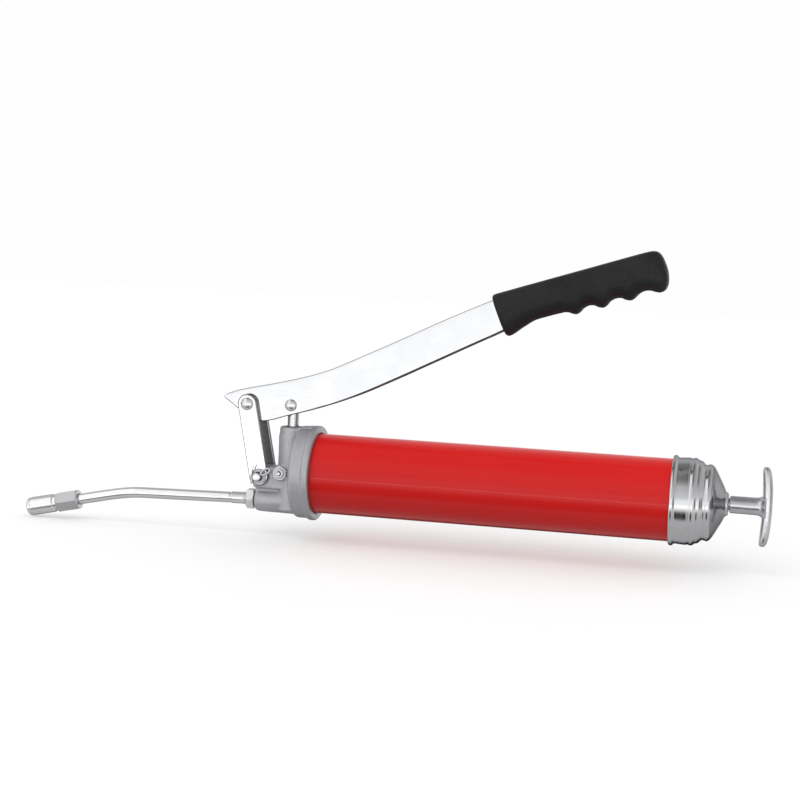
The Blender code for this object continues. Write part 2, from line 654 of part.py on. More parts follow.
def lever_section(x):
    """The section of a folded channel, open below, round both sides of the sheet."""
    top, foot = interp(LEVER_TOP, x), interp(LEVER_FOOT, x)
    slope = 0.5            # at the two ends
    if LEVER_STATIONS[0] + 1 < x < LEVER_STATIONS[-1] - 1:
        slope = (interp(LEVER_TOP, x + 1) - interp(LEVER_TOP, x - 1)) / 2
    # The sloping sheet is thicker when measured straight down.
    web = min(LEVER_T * math.hypot(1, slope), (top - foot) * 0.5)
    r = min(3.0, (top - foot) * 0.35)
    fold = 0.9 * (r / 3)
    y_out = -LEVER_HALF
    y_in = y_out + LEVER_T
    outside = [
        (y_out, foot), (y_out, top - r), (y_out + 0.29 * r, top - 0.29 * r), (y_out + r, top),
    ]
    inside = [(y_in, foot), (y_in, top - web - fold), (y_in + fold, top - web)]
    ring = outside + [(-y, z) for y, z in reversed(outside)]
    ring += [(-y, z) for y, z in inside] + inside[::-1]
    return [(x, y, z) for y, z in ring]


lever_channel = loft("lever_channel", [lever_section(x) for x in LEVER_STATIONS], CHROME)
cut(lever_channel,
    cylinder(-12, 12, PLUNGER_PIN_HOLE_R, Y_AXIS, PIVOT_C, 20),
    cylinder(-12, 12, PIN_HOLE_R, Y_AXIS, PIVOT_B, 20))
plunger_pin = rivet("plunger_pin", LEVER_HALF, PLUNGER_PIN_R, 4.3, PIVOT_C)

# ---------------------------------------------------------------- grip
GRIP_SLOPE = math.radians(18.3)
GRIP_AT = Vector((125.2, 0, 119.8))      # centre of the open end
GRIP_SIDES = 16
GRIP_POWER = 0.62          # below 1 the section is squarer than an ellipse

# (distance along the grip, height of its upper edge, of its lower edge, or its half width)
GRIP_UP = [
    (0, 15.0), (3, 15.4), (60, 15.3), (104, 15.2), (111, 15.0), (114.6, 14.2), (116.8, 12.6),
    (118.2, 10.0), (119.0, 6.6), (119.4, 3.0),
]
GRIP_DOWN = [
    (0, -14.9), (2.2, -15.4), (6, -14.7), (11, -12.7), (17, -10.5), (22, -9.6), (28, -9.4),
    (38, -9.5), (43.5, -9.7), (47.0, -10.6), (49.8, -12.5), (52.2, -13.2), (54.8, -12.4),
    (57.8, -10.5), (61.4, -9.7), (64.8, -10.4), (67.8, -12.6), (70.8, -13.7), (73.6, -12.8),
    (77, -10.6), (80.8, -9.9), (84.2, -10.6), (87.4, -12.9), (90.4, -13.9), (93.2, -13.1),
    (96.4, -11.2), (100.4, -10.2), (104.2, -10.8), (107.8, -12.8), (111.0, -14.0),
    (114.2, -13.4), (116.6, -11.2), (118.2, -8.0), (119.0, -4.8), (119.4, -2.2),
]
GRIP_HALF = [
    (0, 11.2), (2.5, 11.8), (8, 11.6), (30, 11.4), (104, 11.2), (110, 10.9), (114.5, 10.0),
    (117.2, 8.4), (118.6, 6.4), (119.4, 3.4),
]
# distance along the grip of each section
GRIP_STATIONS = [
    0, 2.2, 6, 11, 17, 30, 43.5, 47.8, 52.2, 56.8, 61.4, 66.2, 70.8, 75.4, 80.8, 85.8, 90.4,
    95.2, 100.4, 105.8, 111.0, 114.6, 117.2, 119.4,
]
# x of each section of the pocket for the lever, and the pocket's clearances
POCKET_STATIONS = (100.0, 112.0, 122.0, 132.0, 146.0, 160.0, 190.0, 224.0)
POCKET_GAP_Y, POCKET_GAP_Z = 0.35, 0.45


def grip_point(along, up, sideways):
    """A point of the grip in the working axes. The open end is cut at a slant."""
    along -= 0.08 * up * max(0.0, 1 - along / 12.0)
    c, s = math.cos(GRIP_SLOPE), math.sin(GRIP_SLOPE)
    return Vector((GRIP_AT.x + along * c - up * s, sideways, GRIP_AT.z + along * s + up * c))


def grip_section(along):
    top, foot, half = (interp(table, along) for table in (GRIP_UP, GRIP_DOWN, GRIP_HALF))
    points = []
    for k in range(GRIP_SIDES):
        a = 2 * math.pi * k / GRIP_SIDES
        up = (top + foot) / 2 + (top - foot) / 2 * signed_power(math.sin(a), GRIP_POWER)
        points.append(grip_point(along, up, half * signed_power(math.cos(a), GRIP_POWER)))
    return points


def pocket_section(x):
    top = interp(LEVER_TOP, x) + POCKET_GAP_Z
    foot = interp(LEVER_FOOT, x) - POCKET_GAP_Z
    y = LEVER_HALF + POCKET_GAP_Y
    return [(x, -y, foot), (x, y, foot), (x, y, top), (x, -y, top)]


lever_grip = loft("lever_grip", [grip_section(s) for s in GRIP_STATIONS], GRIP_VINYL)
cut(lever_grip, loft("pocket", [pocket_section(x) for x in POCKET_STATIONS]))

# ---------------------------------------------------------------- links and their pins
LINK_R = 7.0
LINK_ANGLE = math.degrees(math.atan2(PIVOT_B.z - PIVOT_A.z, PIVOT_B.x - PIVOT_A.x))
LINK_OUTLINE = (
    arc(PIVOT_A.x, PIVOT_A.z, LINK_R, LINK_ANGLE + 90, LINK_ANGLE + 270, 10)
    + arc(PIVOT_B.x, PIVOT_B.z, LINK_R, LINK_ANGLE - 90, LINK_ANGLE + 90, 10)
)
PIN_SHOULDER = LINK_OUT + 0.3            # inner faces of the lower pin's head and washer
SPACER_IN, SPACER_OUT = LEVER_HALF + PIN_GAP, LINK_IN - PIN_GAP


def link_plate(name, y0, y1):
    plate = slab(name, LINK_OUTLINE, y0, y1, CHROME)
    return cut(plate, *[
        cylinder(-20, 20, PIN_HOLE_R, Y_AXIS, pivot, 20) for pivot in (PIVOT_A, PIVOT_B)
    ])


def link_spacer(name, y0, y1):
    return washer(name, y0, y1, PIN_HOLE_R, 5.6, ZINC, Y_AXIS, PIVOT_B)


link_pieces = [
    link_plate("link_plate_near", -LINK_OUT, -LINK_IN),
    link_plate("link_plate_far", LINK_IN, LINK_OUT),
    rivet("link_pin_top", LINK_OUT, PIN_R, 4.5, PIVOT_B),
    link_spacer("link_spacer_near", -SPACER_OUT, -SPACER_IN),
    link_spacer("link_spacer_far", SPACER_IN, SPACER_OUT),
]

# ---------------------------------------------------------------- lower pin and its split pin
COTTER_AT = PIVOT_A + Vector((0, -15.2, 0))
COTTER_ANGLE = math.radians(34)
COTTER_DIR = Vector((math.cos(COTTER_ANGLE), 0, math.sin(COTTER_ANGLE)))
EYE_STEPS = 14
EYE_WIRE_R = 0.6
LEG_R = 0.55
# (x, z) of the legs from the middle of the split pin
LEG_UP = [(-2.6, -1.6), (-3.9, -1.6), (-4.4, 0.2), (-3.9, 3.2), (-2.4, 8.2)]
LEG_DOWN = [(-2.5, -1.9), (-3.6, -2.5), (-4.1, -3.6), (-4.2, -5.4)]


def cotter_eye():
    """A long closed loop of wire beyond the rear end of the shank."""
    side = Vector((-COTTER_DIR.z, 0, COTTER_DIR.x))
    angles = [2 * math.pi * i / EYE_STEPS for i in range(EYE_STEPS)]
    loop = [
        COTTER_AT + COTTER_DIR * (6.5 - 2.9 * math.cos(a)) + side * (1.35 * math.sin(a))
        for a in angles
    ]
    sections = []
    for i, p in enumerate(loop):
        tangent = (loop[(i + 1) % EYE_STEPS] - loop[i - 1]).normalized()
        sections.append(circle(p, Vector(Y_AXIS), tangent, EYE_WIRE_R, 8))
    bm = bmesh.new()
    rings = add_rings(bm, sections)
    skin(bm, rings + rings[:1])
    return finish(bm, "cotter_eye")


def cotter_leg(path):
    points = [COTTER_AT + p for p in in_plane(path)]
    return sweep("cotter_leg", points, [LEG_R] * len(points), None, 8)


link_pin_bottom = turned("link_pin_bottom", [
    (-17.6, 0), (-17.6, 2.3), (-16.9, PIN_R), (PIN_SHOULDER, PIN_R), (PIN_SHOULDER, 4.7),
    (14.0, 4.7), (14.8, 3.6), (14.8, 0),
], ZINC, Y_AXIS, PIVOT_A)
cut(link_pin_bottom, cylinder(-6, 6, 1.15, COTTER_DIR, COTTER_AT, 12))
link_washer = washer("link_washer", -PIN_SHOULDER - 1.0, -PIN_SHOULDER, PIN_HOLE_R, 5.8,
                     ZINC, Y_AXIS, PIVOT_A)
# The split pin: a shank, a long eye on one side and two spread legs on the other.
cotter = turned("link_cotter_pin", bar(-3.7, 4.2, 0.85), SPRING_STEEL, COTTER_DIR, COTTER_AT, 10)
join(cotter, cotter_eye(), cotter_leg(LEG_UP), cotter_leg(LEG_DOWN))


# ---------------------------------------------------------------- placing
def empty(name, at, parent=None):
    """An empty that keeps its own place, in millimetres, as the property "at"."""
    obj = bpy.data.objects.new(name, None)
    bpy.context.scene.collection.objects.link(obj)
    obj["at"] = list(at)
    obj.parent = parent
    base = Vector(parent["at"]) if parent else Vector(ORIGIN)
    obj.location = (Vector(at) - base) * MM
    return obj


def put(obj, parent, at=None):
    """Gives the piece its own origin, in millimetres, and hangs it on its parent."""
    base = Vector(parent["at"])
    at = base if at is None else Vector(at)
    obj.data.transform(Matrix.Translation(-at))
    obj.data.transform(Matrix.Scale(MM, 4))
    obj.parent = parent
    obj.location = (at - base) * MM
    obj.data.shade_smooth()
    obj.data.set_sharp_from_angle(angle=math.radians(35))


gun = empty("gun", ORIGIN)
plunger_axis = empty("plunger_axis", PLUNGER_AT, gun)
lever_axis = empty("lever_axis", PIVOT_C, plunger_axis)
link_axis = empty("link_axis", PIVOT_B, lever_axis)
barrel_axis = empty("barrel_axis", ORIGIN, gun)
follower_axis = empty("follower_axis", (FOLLOWER_X, 0, 0), barrel_axis)
rod_axis = empty("rod_axis", (FOLLOWER_X, 0, 0), follower_axis)
coupler_axis = empty("coupler_axis", COUPLER_REAR, gun)

# parent, origin (None for the parent's own) and the pieces that share them
PLACES = [
    (gun, None, [head, plunger_seal, barrel_gasket, spout_tube]),
    (gun, (-49.8, 0, OUTLET_Z), [spout_nut]),
    (gun, BALL_AT, [check_ball]),
    (gun, (CHECK_SPRING_X, 0, OUTLET_Z), [check_spring]),
    (gun, BLEED, [bleed_body, bleed_stem]),
    (coupler_axis, None, [coupler_body, coupler_sleeve, collet, coupler_seal, coupler_spring]),
    (barrel_axis, None, [barrel_tube]),
    (barrel_axis, (BARREL_X1, 0, 0), [end_cap]),
    (barrel_axis, (SPRING_X1, 0, 0), [follower_spring]),
    (follower_axis, None, [follower_cup, follower_plate]),
    (rod_axis, None, [follower_rod, follower_washer, follower_nut]),
    (rod_axis, (T_X0, 0, 0), [t_handle]),
    (plunger_axis, None, [plunger_rod]),
    (lever_axis, None, [lever_channel, plunger_pin]),
    (lever_axis, GRIP_AT, [lever_grip]),
    (link_axis, None, link_pieces),
    (link_axis, PIVOT_A, [link_pin_bottom, link_washer, cotter]),
]
for parent, at, pieces in PLACES:
    for piece in pieces:
        put(piece, parent, at)

# The gun is set so that the world origin is at the bottom centre of its bounding box.
bpy.context.view_layer.update()
corners = [
    obj.matrix_world @ v.co
    for obj in bpy.data.objects if obj.type == "MESH"
    for v in obj.data.vertices
]
low = Vector([min(p[i] for p in corners) for i in range(3)])
high = Vector([max(p[i] for p in corners) for i in range(3)])
gun.location = (-(low.x + high.x) / 2, -(low.y + high.y) / 2, -low.z)
bpy.context.view_layer.update()
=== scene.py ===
import math

import bpy
import bmesh
from mathutils import Matrix, Vector, noise


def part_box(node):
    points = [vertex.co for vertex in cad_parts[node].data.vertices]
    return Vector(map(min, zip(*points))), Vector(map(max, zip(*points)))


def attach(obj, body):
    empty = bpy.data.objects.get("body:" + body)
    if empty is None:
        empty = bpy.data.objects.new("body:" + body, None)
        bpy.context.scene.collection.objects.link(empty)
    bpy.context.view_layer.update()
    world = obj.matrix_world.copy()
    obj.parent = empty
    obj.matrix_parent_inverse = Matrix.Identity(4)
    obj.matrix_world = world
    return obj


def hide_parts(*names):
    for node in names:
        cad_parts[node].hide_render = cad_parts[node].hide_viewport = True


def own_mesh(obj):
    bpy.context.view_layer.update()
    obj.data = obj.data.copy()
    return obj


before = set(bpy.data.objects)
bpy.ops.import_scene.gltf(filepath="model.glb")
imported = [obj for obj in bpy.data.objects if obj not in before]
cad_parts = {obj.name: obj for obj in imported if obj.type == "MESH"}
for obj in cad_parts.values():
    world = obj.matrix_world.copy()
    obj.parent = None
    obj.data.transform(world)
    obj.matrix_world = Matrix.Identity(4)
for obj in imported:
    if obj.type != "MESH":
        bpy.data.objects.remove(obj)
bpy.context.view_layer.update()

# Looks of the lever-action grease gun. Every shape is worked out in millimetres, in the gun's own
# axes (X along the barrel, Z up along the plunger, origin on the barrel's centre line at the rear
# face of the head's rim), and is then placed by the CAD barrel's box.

lo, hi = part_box("barrel_tube")
ORIGIN = Vector((lo.x + 0.0089, (lo.y + hi.y) / 2, (lo.z + hi.z) / 2))

scene = bpy.context.scene
scene.view_settings.view_transform = "Standard"
scene.view_settings.look = "None"

# ------------------------------------------------------------------ dimensions, mm
BARREL_R, BARREL_WALL = 28.5, 1.2
BARREL_X0, BARREL_X1 = -8.9, 262.0
HEAD_R, RIM_R, HEAD_X0 = 32.6, 33.9, -15.0
HEAD_BORE_R, HEAD_SEAT_X = 28.8, -11.0
PLUNGER_X, PLUNGER_R, BORE_R, BOSS_R, BOSS_TOP, BORE_BOTTOM = -20.9, 4.0, 4.25, 9.6, 32.3, -25.2
OUTLET_Z, OUTLET_X = -22.0, -46.5
EAR_HALF, EAR_FOOT = 9.0, -12.8
LINK_IN, LINK_OUT, LINK_R = 9.6, 12.0, 7.0
A = Vector((-41.8, 0.0, -4.0))
B = Vector((-52.4, 0.0, 47.5))
C = Vector((PLUNGER_X, 0.0, 48.2))
PIN_R, PLUNGER_PIN_R = 3.0, 2.5
LEVER_HALF, LEVER_T = 8.0, 2.0
ROD_R = 4.0
SPOUT_R, SPOUT_BORE_R = 3.9, 1.7
K0 = Vector((-182.8, 0.0, -32.9))
K_SLOPE = math.radians(12.4)
K_AXIS = Vector((-math.cos(K_SLOPE), 0.0, -math.sin(K_SLOPE)))
K_LEN = 40.6
BLEED = Vector((-26.0, -EAR_HALF, -0.6))


# ------------------------------------------------------------------ materials
class Nodes:
    """A short way to write a node tree."""

    def __init__(self, name):
        self.mat = bpy.data.materials.new(name)
        self.mat.use_nodes = True
        self.tree = self.mat.node_tree
        self.tree.nodes.clear()
        self.out = self.tree.nodes.new("ShaderNodeOutputMaterial")
        self.bsdf = self.tree.nodes.new("ShaderNodeBsdfPrincipled")
        self.link(self.bsdf.outputs[0], self.out.inputs[0])
        coords = self.tree.nodes.new("ShaderNodeTexCoord")
        self.pos = coords.outputs["Object"]

    def link(self, a, b):
        self.tree.links.new(a, b)

    def put(self, socket, value):
        if isinstance(value, bpy.types.NodeSocket):
            self.link(value, socket)
        elif isinstance(value, (tuple, list)) and len(value) == 3 and socket.type == "RGBA":
            socket.default_value = (*value, 1.0)
        else:
            socket.default_value = value

    def set(self, **values):
        for key, value in values.items():
            self.put(self.bsdf.inputs[key.replace("_", " ")], value)

    def add(self, kind, outs=0, props=None, **values):
        node = self.tree.nodes.new(kind)
        for key, value in (props or {}).items():
            setattr(node, key, value)
        for key, value in values.items():
            name = key.replace("_", " ")
            socket = node.inputs[int(key[1:])] if key[0] == "i" and key[1:].isdigit() else node.inputs[name]
            self.put(socket, value)
        return node.outputs[outs]

    def scaled(self, x, y=None, z=None, offset=(0, 0, 0)):
        y = x if y is None else y
        z = x if z is None else z
        return self.add("ShaderNodeMapping", Vector=self.pos, Scale=(x, y, z), Location=offset)

    def noise(self, scale, detail=3.0, rough=0.5, vector=None, distortion=0.0):
        return self.add("ShaderNodeTexNoise", 0, Vector=vector or self.pos, Scale=scale, Detail=detail, Roughness=rough, Distortion=distortion)

    def ramp(self, value, *stops):
        node = self.tree.nodes.new("ShaderNodeValToRGB")
        self.put(node.inputs[0], value)
        ramp = node.color_ramp
        while len(ramp.elements) < len(stops):
            ramp.elements.new(0.5)
        for element, (at, colour) in zip(ramp.elements, stops):
            element.position = at
            element.color = (colour, colour, colour, 1.0) if isinstance(colour, (int, float)) else (*colour, 1.0)
        return node.outputs[0]

    def fit(self, value, a, b, c, d):
        return self.add("ShaderNodeMapRange", 0, Value=value, From_Min=a, From_Max=b, To_Min=c, To_Max=d)

    def math(self, how, a, b=0.0):
        return self.add("ShaderNodeMath", 0, {"operation": how}, i0=a, i1=b)

    def mix(self, share, a, b):
        node = self.tree.nodes.new("ShaderNodeMix")
        node.data_type = "RGBA"
        self.put(node.inputs[0], share)
        self.put(node.inputs[6], a)
        self.put(node.inputs[7], b)
        return node.outputs[2]

    def bump(self, height, strength=1.0, distance=0.0001, normal=None):
        values = {"Height": height, "Strength": strength, "Distance": distance}
        if normal is not None:
            values["Normal"] = normal
        node = self.tree.nodes.new("ShaderNodeBump")
        for key, value in values.items():
            self.put(node.inputs[key], value)
        return node.outputs[0]

    def edges(self, low=0.50, high=0.56):
        """Near 1 on convex edges: for wear, and in the chrome for painted darker edge reflections."""
        geometry = self.tree.nodes.new("ShaderNodeNewGeometry")
        return self.fit(geometry.outputs["Pointiness"], low, high, 0.0, 1.0)


def red_enamel():
    n = Nodes("red_enamel_paint")
    tone = n.noise(6.0, 2.0)
    colour = n.mix(n.fit(tone, 0.3, 0.7, 0.0, 1.0), (0.610, 0.0120, 0.0115), (0.660, 0.0150, 0.0140))
    dust = n.ramp(n.noise(900.0, 2.0, 0.6), (0.70, 0.0), (0.80, 1.0))
    colour = n.mix(n.math("MULTIPLY", dust, 0.05), colour, (0.80, 0.35, 0.33))
    peel = n.noise(520.0, 2.0, 0.4)
    fine = n.noise(2600.0, 1.0, 0.5)
    height = n.math("ADD", n.math("MULTIPLY", peel, 1.0), n.math("MULTIPLY", fine, 0.12))
    scuff = n.ramp(n.noise(1.0, 4.0, 0.7, n.scaled(30, 700, 700)), (0.60, 0.0), (0.74, 1.0))
    rough = n.fit(n.noise(40.0, 3.0), 0.3, 0.7, 0.22, 0.32)
    n.set(Base_Color=colour, Roughness=n.math("ADD", rough, n.math("MULTIPLY", scuff, 0.06)), Metallic=0.0, Normal=n.bump(height, 0.10, 0.00008))
    n.set(**{"Coat_Weight": 0.34, "Coat_Roughness": n.fit(scuff, 0, 1, 0.04, 0.13), "Specular_IOR_Level": 0.10})
    n.put(n.bsdf.inputs["Coat Normal"], n.bump(peel, 0.05, 0.00006))
    return n.mat


def cast_alloy():
    n = Nodes("die_cast_alloy")
    broad = n.noise(28.0, 3.0, 0.55)
    grain = n.noise(2600.0, 3.0, 0.6)
    lumps = n.noise(420.0, 3.0, 0.5)
    flow = n.noise(1.0, 3.0, 0.6, n.scaled(60, 60, 260))
    colour = n.mix(n.fit(broad, 0.3, 0.7, 0.0, 1.0), (0.445, 0.445, 0.466), (0.545, 0.545, 0.572))
    colour = n.mix(n.math("MULTIPLY", n.ramp(flow, (0.50, 0.0), (0.75, 1.0)), 0.25), colour, (0.33, 0.33, 0.352))
    worn = n.edges(0.505, 0.56)
    colour = n.mix(n.math("MULTIPLY", worn, 0.45), colour, (0.72, 0.72, 0.73))
    pits = n.ramp(n.noise(1500.0, 2.0, 0.5), (0.28, 0.0), (0.36, 1.0))
    height = n.math("ADD", n.math("MULTIPLY", lumps, 0.55), n.math("MULTIPLY", grain, 0.35))
    height = n.math("ADD", height, n.math("MULTIPLY", pits, 0.20))
    rough = n.fit(lumps, 0.3, 0.7, 0.40, 0.54)
    rough = n.math("SUBTRACT", rough, n.math("MULTIPLY", worn, 0.12))
    n.set(Base_Color=colour, Roughness=rough, Metallic=0.62, Normal=n.bump(height, 0.45, 0.00010), Specular_Tint=(0.5, 0.5, 0.52))
    return n.mat


def bright_chrome():
    n = Nodes("bright_chrome_plate")
    polish = n.noise(1.0, 3.0, 0.55, n.scaled(90, 1200, 1200))
    haze = n.noise(45.0, 4.0, 0.6)
    colour = n.mix(n.fit(haze, 0.3, 0.7, 0.0, 1.0), (0.80, 0.81, 0.83), (0.87, 0.88, 0.89))
    rough = n.math("ADD", n.fit(polish, 0.3, 0.7, 0.045, 0.10), n.math("MULTIPLY", n.ramp(haze, (0.55, 0.0), (0.8, 1.0)), 0.05))
    # Convex edges mixed towards dark grey: a painted darker reflection along the chrome's edges.
    colour = n.mix(n.math("MULTIPLY", n.edges(0.515, 0.56), 0.6), colour, (0.26, 0.26, 0.275))
    wave = n.noise(70.0, 2.0, 0.5)
    height = n.math("ADD", n.math("MULTIPLY", wave, 0.8), n.math("MULTIPLY", polish, 0.05))
    n.set(Base_Color=colour, Roughness=rough, Metallic=1.0, Normal=n.bump(height, 0.10, 0.00012), Specular_Tint=(0.35, 0.35, 0.37))
    return n.mat


def rivet_chrome():
    n = Nodes("hammered_rivet_head")
    haze = n.noise(300.0, 3.0, 0.6)
    colour = n.mix(n.fit(haze, 0.3, 0.7, 0.0, 1.0), (0.78, 0.78, 0.79), (0.88, 0.88, 0.885))
    n.set(Base_Color=colour, Roughness=n.fit(haze, 0.3, 0.7, 0.16, 0.24), Metallic=0.90, Normal=n.bump(n.noise(700.0, 2.0), 0.25, 0.00006), Specular_Tint=(0.2, 0.2, 0.22))
    return n.mat


def plate_back_painted_shade():
    # Dark grey metal for the link plate's inner face: painted shade where it faces the other plate.
    n = Nodes("plate_back_painted_shade_metal")
    haze = n.noise(120.0, 4.0, 0.6)
    lines = n.noise(1.0, 3.0, 0.6, n.scaled(900, 900, 60))
    colour = n.mix(n.fit(haze, 0.3, 0.7, 0.0, 1.0), (0.17, 0.17, 0.175), (0.24, 0.24, 0.245))
    n.set(Base_Color=colour, Roughness=n.fit(lines, 0.3, 0.7, 0.38, 0.5), Metallic=0.9, Normal=n.bump(lines, 0.15, 0.00006))
    return n.mat


def sheared_edge_and_shade():
    # Dark grey for the lever's lower edge: partly the cut sheet, partly painted shade.
    n = Nodes("sheared_edge_painted_shade")
    haze = n.noise(160.0, 4.0, 0.6)
    lines = n.noise(1.0, 3.0, 0.6, n.scaled(900, 900, 900))
    colour = n.mix(n.fit(haze, 0.3, 0.7, 0.0, 1.0), (0.10, 0.10, 0.105), (0.16, 0.16, 0.165))
    n.set(Base_Color=colour, Roughness=n.fit(lines, 0.3, 0.7, 0.50, 0.62), Metallic=0.25, Normal=n.bump(lines, 0.2, 0.00006), Specular_Tint=(0.3, 0.3, 0.3))
    return n.mat


def plated_tube():
    n = Nodes("satin_plated_tube")
    lines = n.noise(1.0, 3.0, 0.6, n.scaled(60, 1500, 1500))
    haze = n.noise(55.0, 4.0, 0.6)
    colour = n.mix(n.fit(haze, 0.3, 0.7, 0.0, 1.0), (0.90, 0.90, 0.91), (0.96, 0.96, 0.965))
    colour = n.mix(n.math("MULTIPLY", n.ramp(n.noise(160.0, 3.0, 0.6), (0.55, 0.0), (0.80, 1.0)), 0.10), colour, (0.5, 0.5, 0.51))
    n.set(Base_Color=colour, Roughness=n.fit(lines, 0.3, 0.7, 0.16, 0.23), Metallic=0.88, Normal=n.bump(n.math("ADD", n.math("MULTIPLY", lines, 0.3), haze), 0.06, 0.00006), Specular_Tint=(0.25, 0.25, 0.27))
    return n.mat


def spun_chrome(name="spun_plated_steel", tone=1.0):
    n = Nodes(name)
    # Rings left by spinning: they depend on the place along the barrel only.
    rings = n.noise(1.0, 3.0, 0.6, n.scaled(2600, 6, 6))
    haze = n.noise(40.0, 4.0, 0.6)
    colour = n.mix(n.fit(haze, 0.3, 0.7, 0.0, 1.0), (0.66 * tone, 0.665 * tone, 0.68 * tone), (0.74 * tone, 0.745 * tone, 0.755 * tone))
    rough = n.math("ADD", n.fit(rings, 0.3, 0.7, 0.11, 0.19), n.math("MULTIPLY", n.ramp(haze, (0.5, 0.0), (0.8, 1.0)), 0.08))
    height = n.math("ADD", n.math("MULTIPLY", n.noise(150.0, 3.0), 0.9), n.math("MULTIPLY", rings, 0.30))
    n.set(Base_Color=colour, Roughness=rough, Metallic=1.0, Normal=n.bump(height, 0.16, 0.00010), Specular_Tint=(0.35, 0.35, 0.37))
    return n.mat


def zinc_plate():
    n = Nodes("zinc_plate")
    spangle = n.add("ShaderNodeTexVoronoi", 1, {"feature": "F1"}, Vector=n.pos, Scale=420.0)
    grey = n.add("ShaderNodeRGBToBW", 0, Color=spangle)
    haze = n.noise(70.0, 4.0, 0.6)
    colour = n.mix(n.fit(haze, 0.3, 0.7, 0.0, 1.0), (0.31, 0.315, 0.335), (0.39, 0.395, 0.42))
    colour = n.mix(n.math("MULTIPLY", grey, 0.12), colour, (0.82, 0.83, 0.85))
    worn = n.edges(0.51, 0.58)
    colour = n.mix(n.math("MULTIPLY", worn, 0.4), colour, (0.88, 0.88, 0.88))
    turned_lines = n.noise(1.0, 2.0, 0.5, n.scaled(1700, 60, 60))
    rough = n.fit(haze, 0.3, 0.7, 0.27, 0.38)
    n.set(Base_Color=colour, Roughness=rough, Metallic=0.70, Normal=n.bump(n.math("ADD", n.math("MULTIPLY", turned_lines, 0.4), n.math("MULTIPLY", n.noise(900.0, 2.0), 0.6)), 0.12, 0.00008))
    return n.mat


def handle_alloy():
    n = Nodes("plated_handle_alloy")
    haze = n.noise(60.0, 4.0, 0.6)
    lumps = n.noise(380.0, 3.0, 0.5)
    colour = n.mix(n.fit(haze, 0.3, 0.7, 0.0, 1.0), (0.64, 0.64, 0.67), (0.73, 0.73, 0.76))
    worn = n.edges(0.505, 0.56)
    colour = n.mix(n.math("MULTIPLY", worn, 0.35), colour, (0.78, 0.78, 0.79))
    n.set(Base_Color=colour, Roughness=n.fit(lumps, 0.3, 0.7, 0.20, 0.27), Metallic=0.90, Specular_Tint=(0.3, 0.3, 0.32), Normal=n.bump(n.math("ADD", lumps, n.math("MULTIPLY", n.noise(1800.0, 2.0), 0.1)), 0.03, 0.00008))
    return n.mat


def bright_steel(name="drawn_bright_steel", lengthwise=(1, 0, 0), dark=0.0):
    n = Nodes(name)
    scale = [1300.0] * 3
    for i in range(3):
        if lengthwise[i]:
            scale[i] = 40.0
    lines = n.noise(1.0, 3.0, 0.6, n.scaled(*scale))
    haze = n.noise(55.0, 4.0, 0.6)
    a, b = 0.60 - dark, 0.72 - dark
    colour = n.mix(n.fit(haze, 0.3, 0.7, 0.0, 1.0), (a, a, a + 0.01), (b, b, b + 0.01))
    n.set(Base_Color=colour, Roughness=n.fit(lines, 0.3, 0.7, 0.12, 0.24), Metallic=1.0, Normal=n.bump(n.math("ADD", lines, n.math("MULTIPLY", haze, 0.6)), 0.10, 0.00006), Specular_Tint=(0.2, 0.2, 0.22))
    return n.mat


def spring_steel():
    n = Nodes("oiled_spring_wire")
    haze = n.noise(160.0, 4.0, 0.6)
    colour = n.mix(n.fit(haze, 0.3, 0.7, 0.0, 1.0), (0.20, 0.20, 0.21), (0.36, 0.36, 0.37))
    n.set(Base_Color=colour, Roughness=n.fit(haze, 0.3, 0.7, 0.26, 0.42), Metallic=1.0, Normal=n.bump(n.noise(1500.0, 2.0), 0.2, 0.00005))
    return n.mat


def black_rubber():
    n = Nodes("moulded_black_rubber")
    haze = n.noise(90.0, 4.0, 0.6)
    colour = n.mix(n.fit(haze, 0.3, 0.7, 0.0, 1.0), (0.012, 0.012, 0.012), (0.028, 0.028, 0.027))
    n.set(Base_Color=colour, Roughness=n.fit(haze, 0.3, 0.7, 0.50, 0.68), Metallic=0.0, Normal=n.bump(n.noise(2400.0, 3.0), 0.3, 0.00006))
    return n.mat


def black_vinyl():
    n = Nodes("dipped_black_vinyl")
    broad = n.noise(38.0, 4.0, 0.6)
    cells = n.add("ShaderNodeTexVoronoi", 0, {"feature": "SMOOTH_F1"}, Vector=n.pos, Scale=1300.0)
    grain = n.noise(2600.0, 3.0, 0.6)
    orange = n.noise(330.0, 3.0, 0.5)
    colour = n.mix(n.fit(broad, 0.3, 0.7, 0.0, 1.0), (0.0075, 0.0075, 0.0080), (0.0150, 0.0150, 0.0155))
    chalk = n.ramp(n.noise(520.0, 4.0, 0.7), (0.58, 0.0), (0.78, 1.0))
    colour = n.mix(n.math("MULTIPLY", chalk, 0.16), colour, (0.09, 0.09, 0.095))
    height = n.math("ADD", n.math("MULTIPLY", cells, 0.55), n.math("MULTIPLY", grain, 0.25))
    height = n.math("ADD", height, n.math("MULTIPLY", orange, 0.9))
    rough = n.fit(orange, 0.3, 0.7, 0.42, 0.56)
    n.set(Base_Color=colour, Roughness=rough, Metallic=0.0, Normal=n.bump(height, 0.65, 0.00012))
    n.set(**{"Specular_IOR_Level": 0.30})
    return n.mat


M = {
    "red": red_enamel(),
    "cast": cast_alloy(),
    "chrome": bright_chrome(),
    "spun": spun_chrome(),
    # A darker copy of the spun plate for the cap's cone: painted darker reflection.
    "drawn": spun_chrome("cone_plate_painted_reflection", 0.58),
    # A darker copy of the spun plate for the link plates' rounded rim: painted darker reflection.
    "rim": spun_chrome("plated_rim_painted_reflection", 0.50),
    "rivet": rivet_chrome(),
    "back_shade": plate_back_painted_shade(),
    "plated": plated_tube(),
    "edge_and_shade": sheared_edge_and_shade(),
    "zinc": zinc_plate(),
    "handle": handle_alloy(),
    "steel_x": bright_steel("drawn_steel_tube", (1, 0, 0)),
    "steel_z": bright_steel("ground_steel_rod", (0, 0, 0), 0.02),
    "spring": spring_steel(),
    "rubber": black_rubber(),
    "vinyl": black_vinyl(),
}


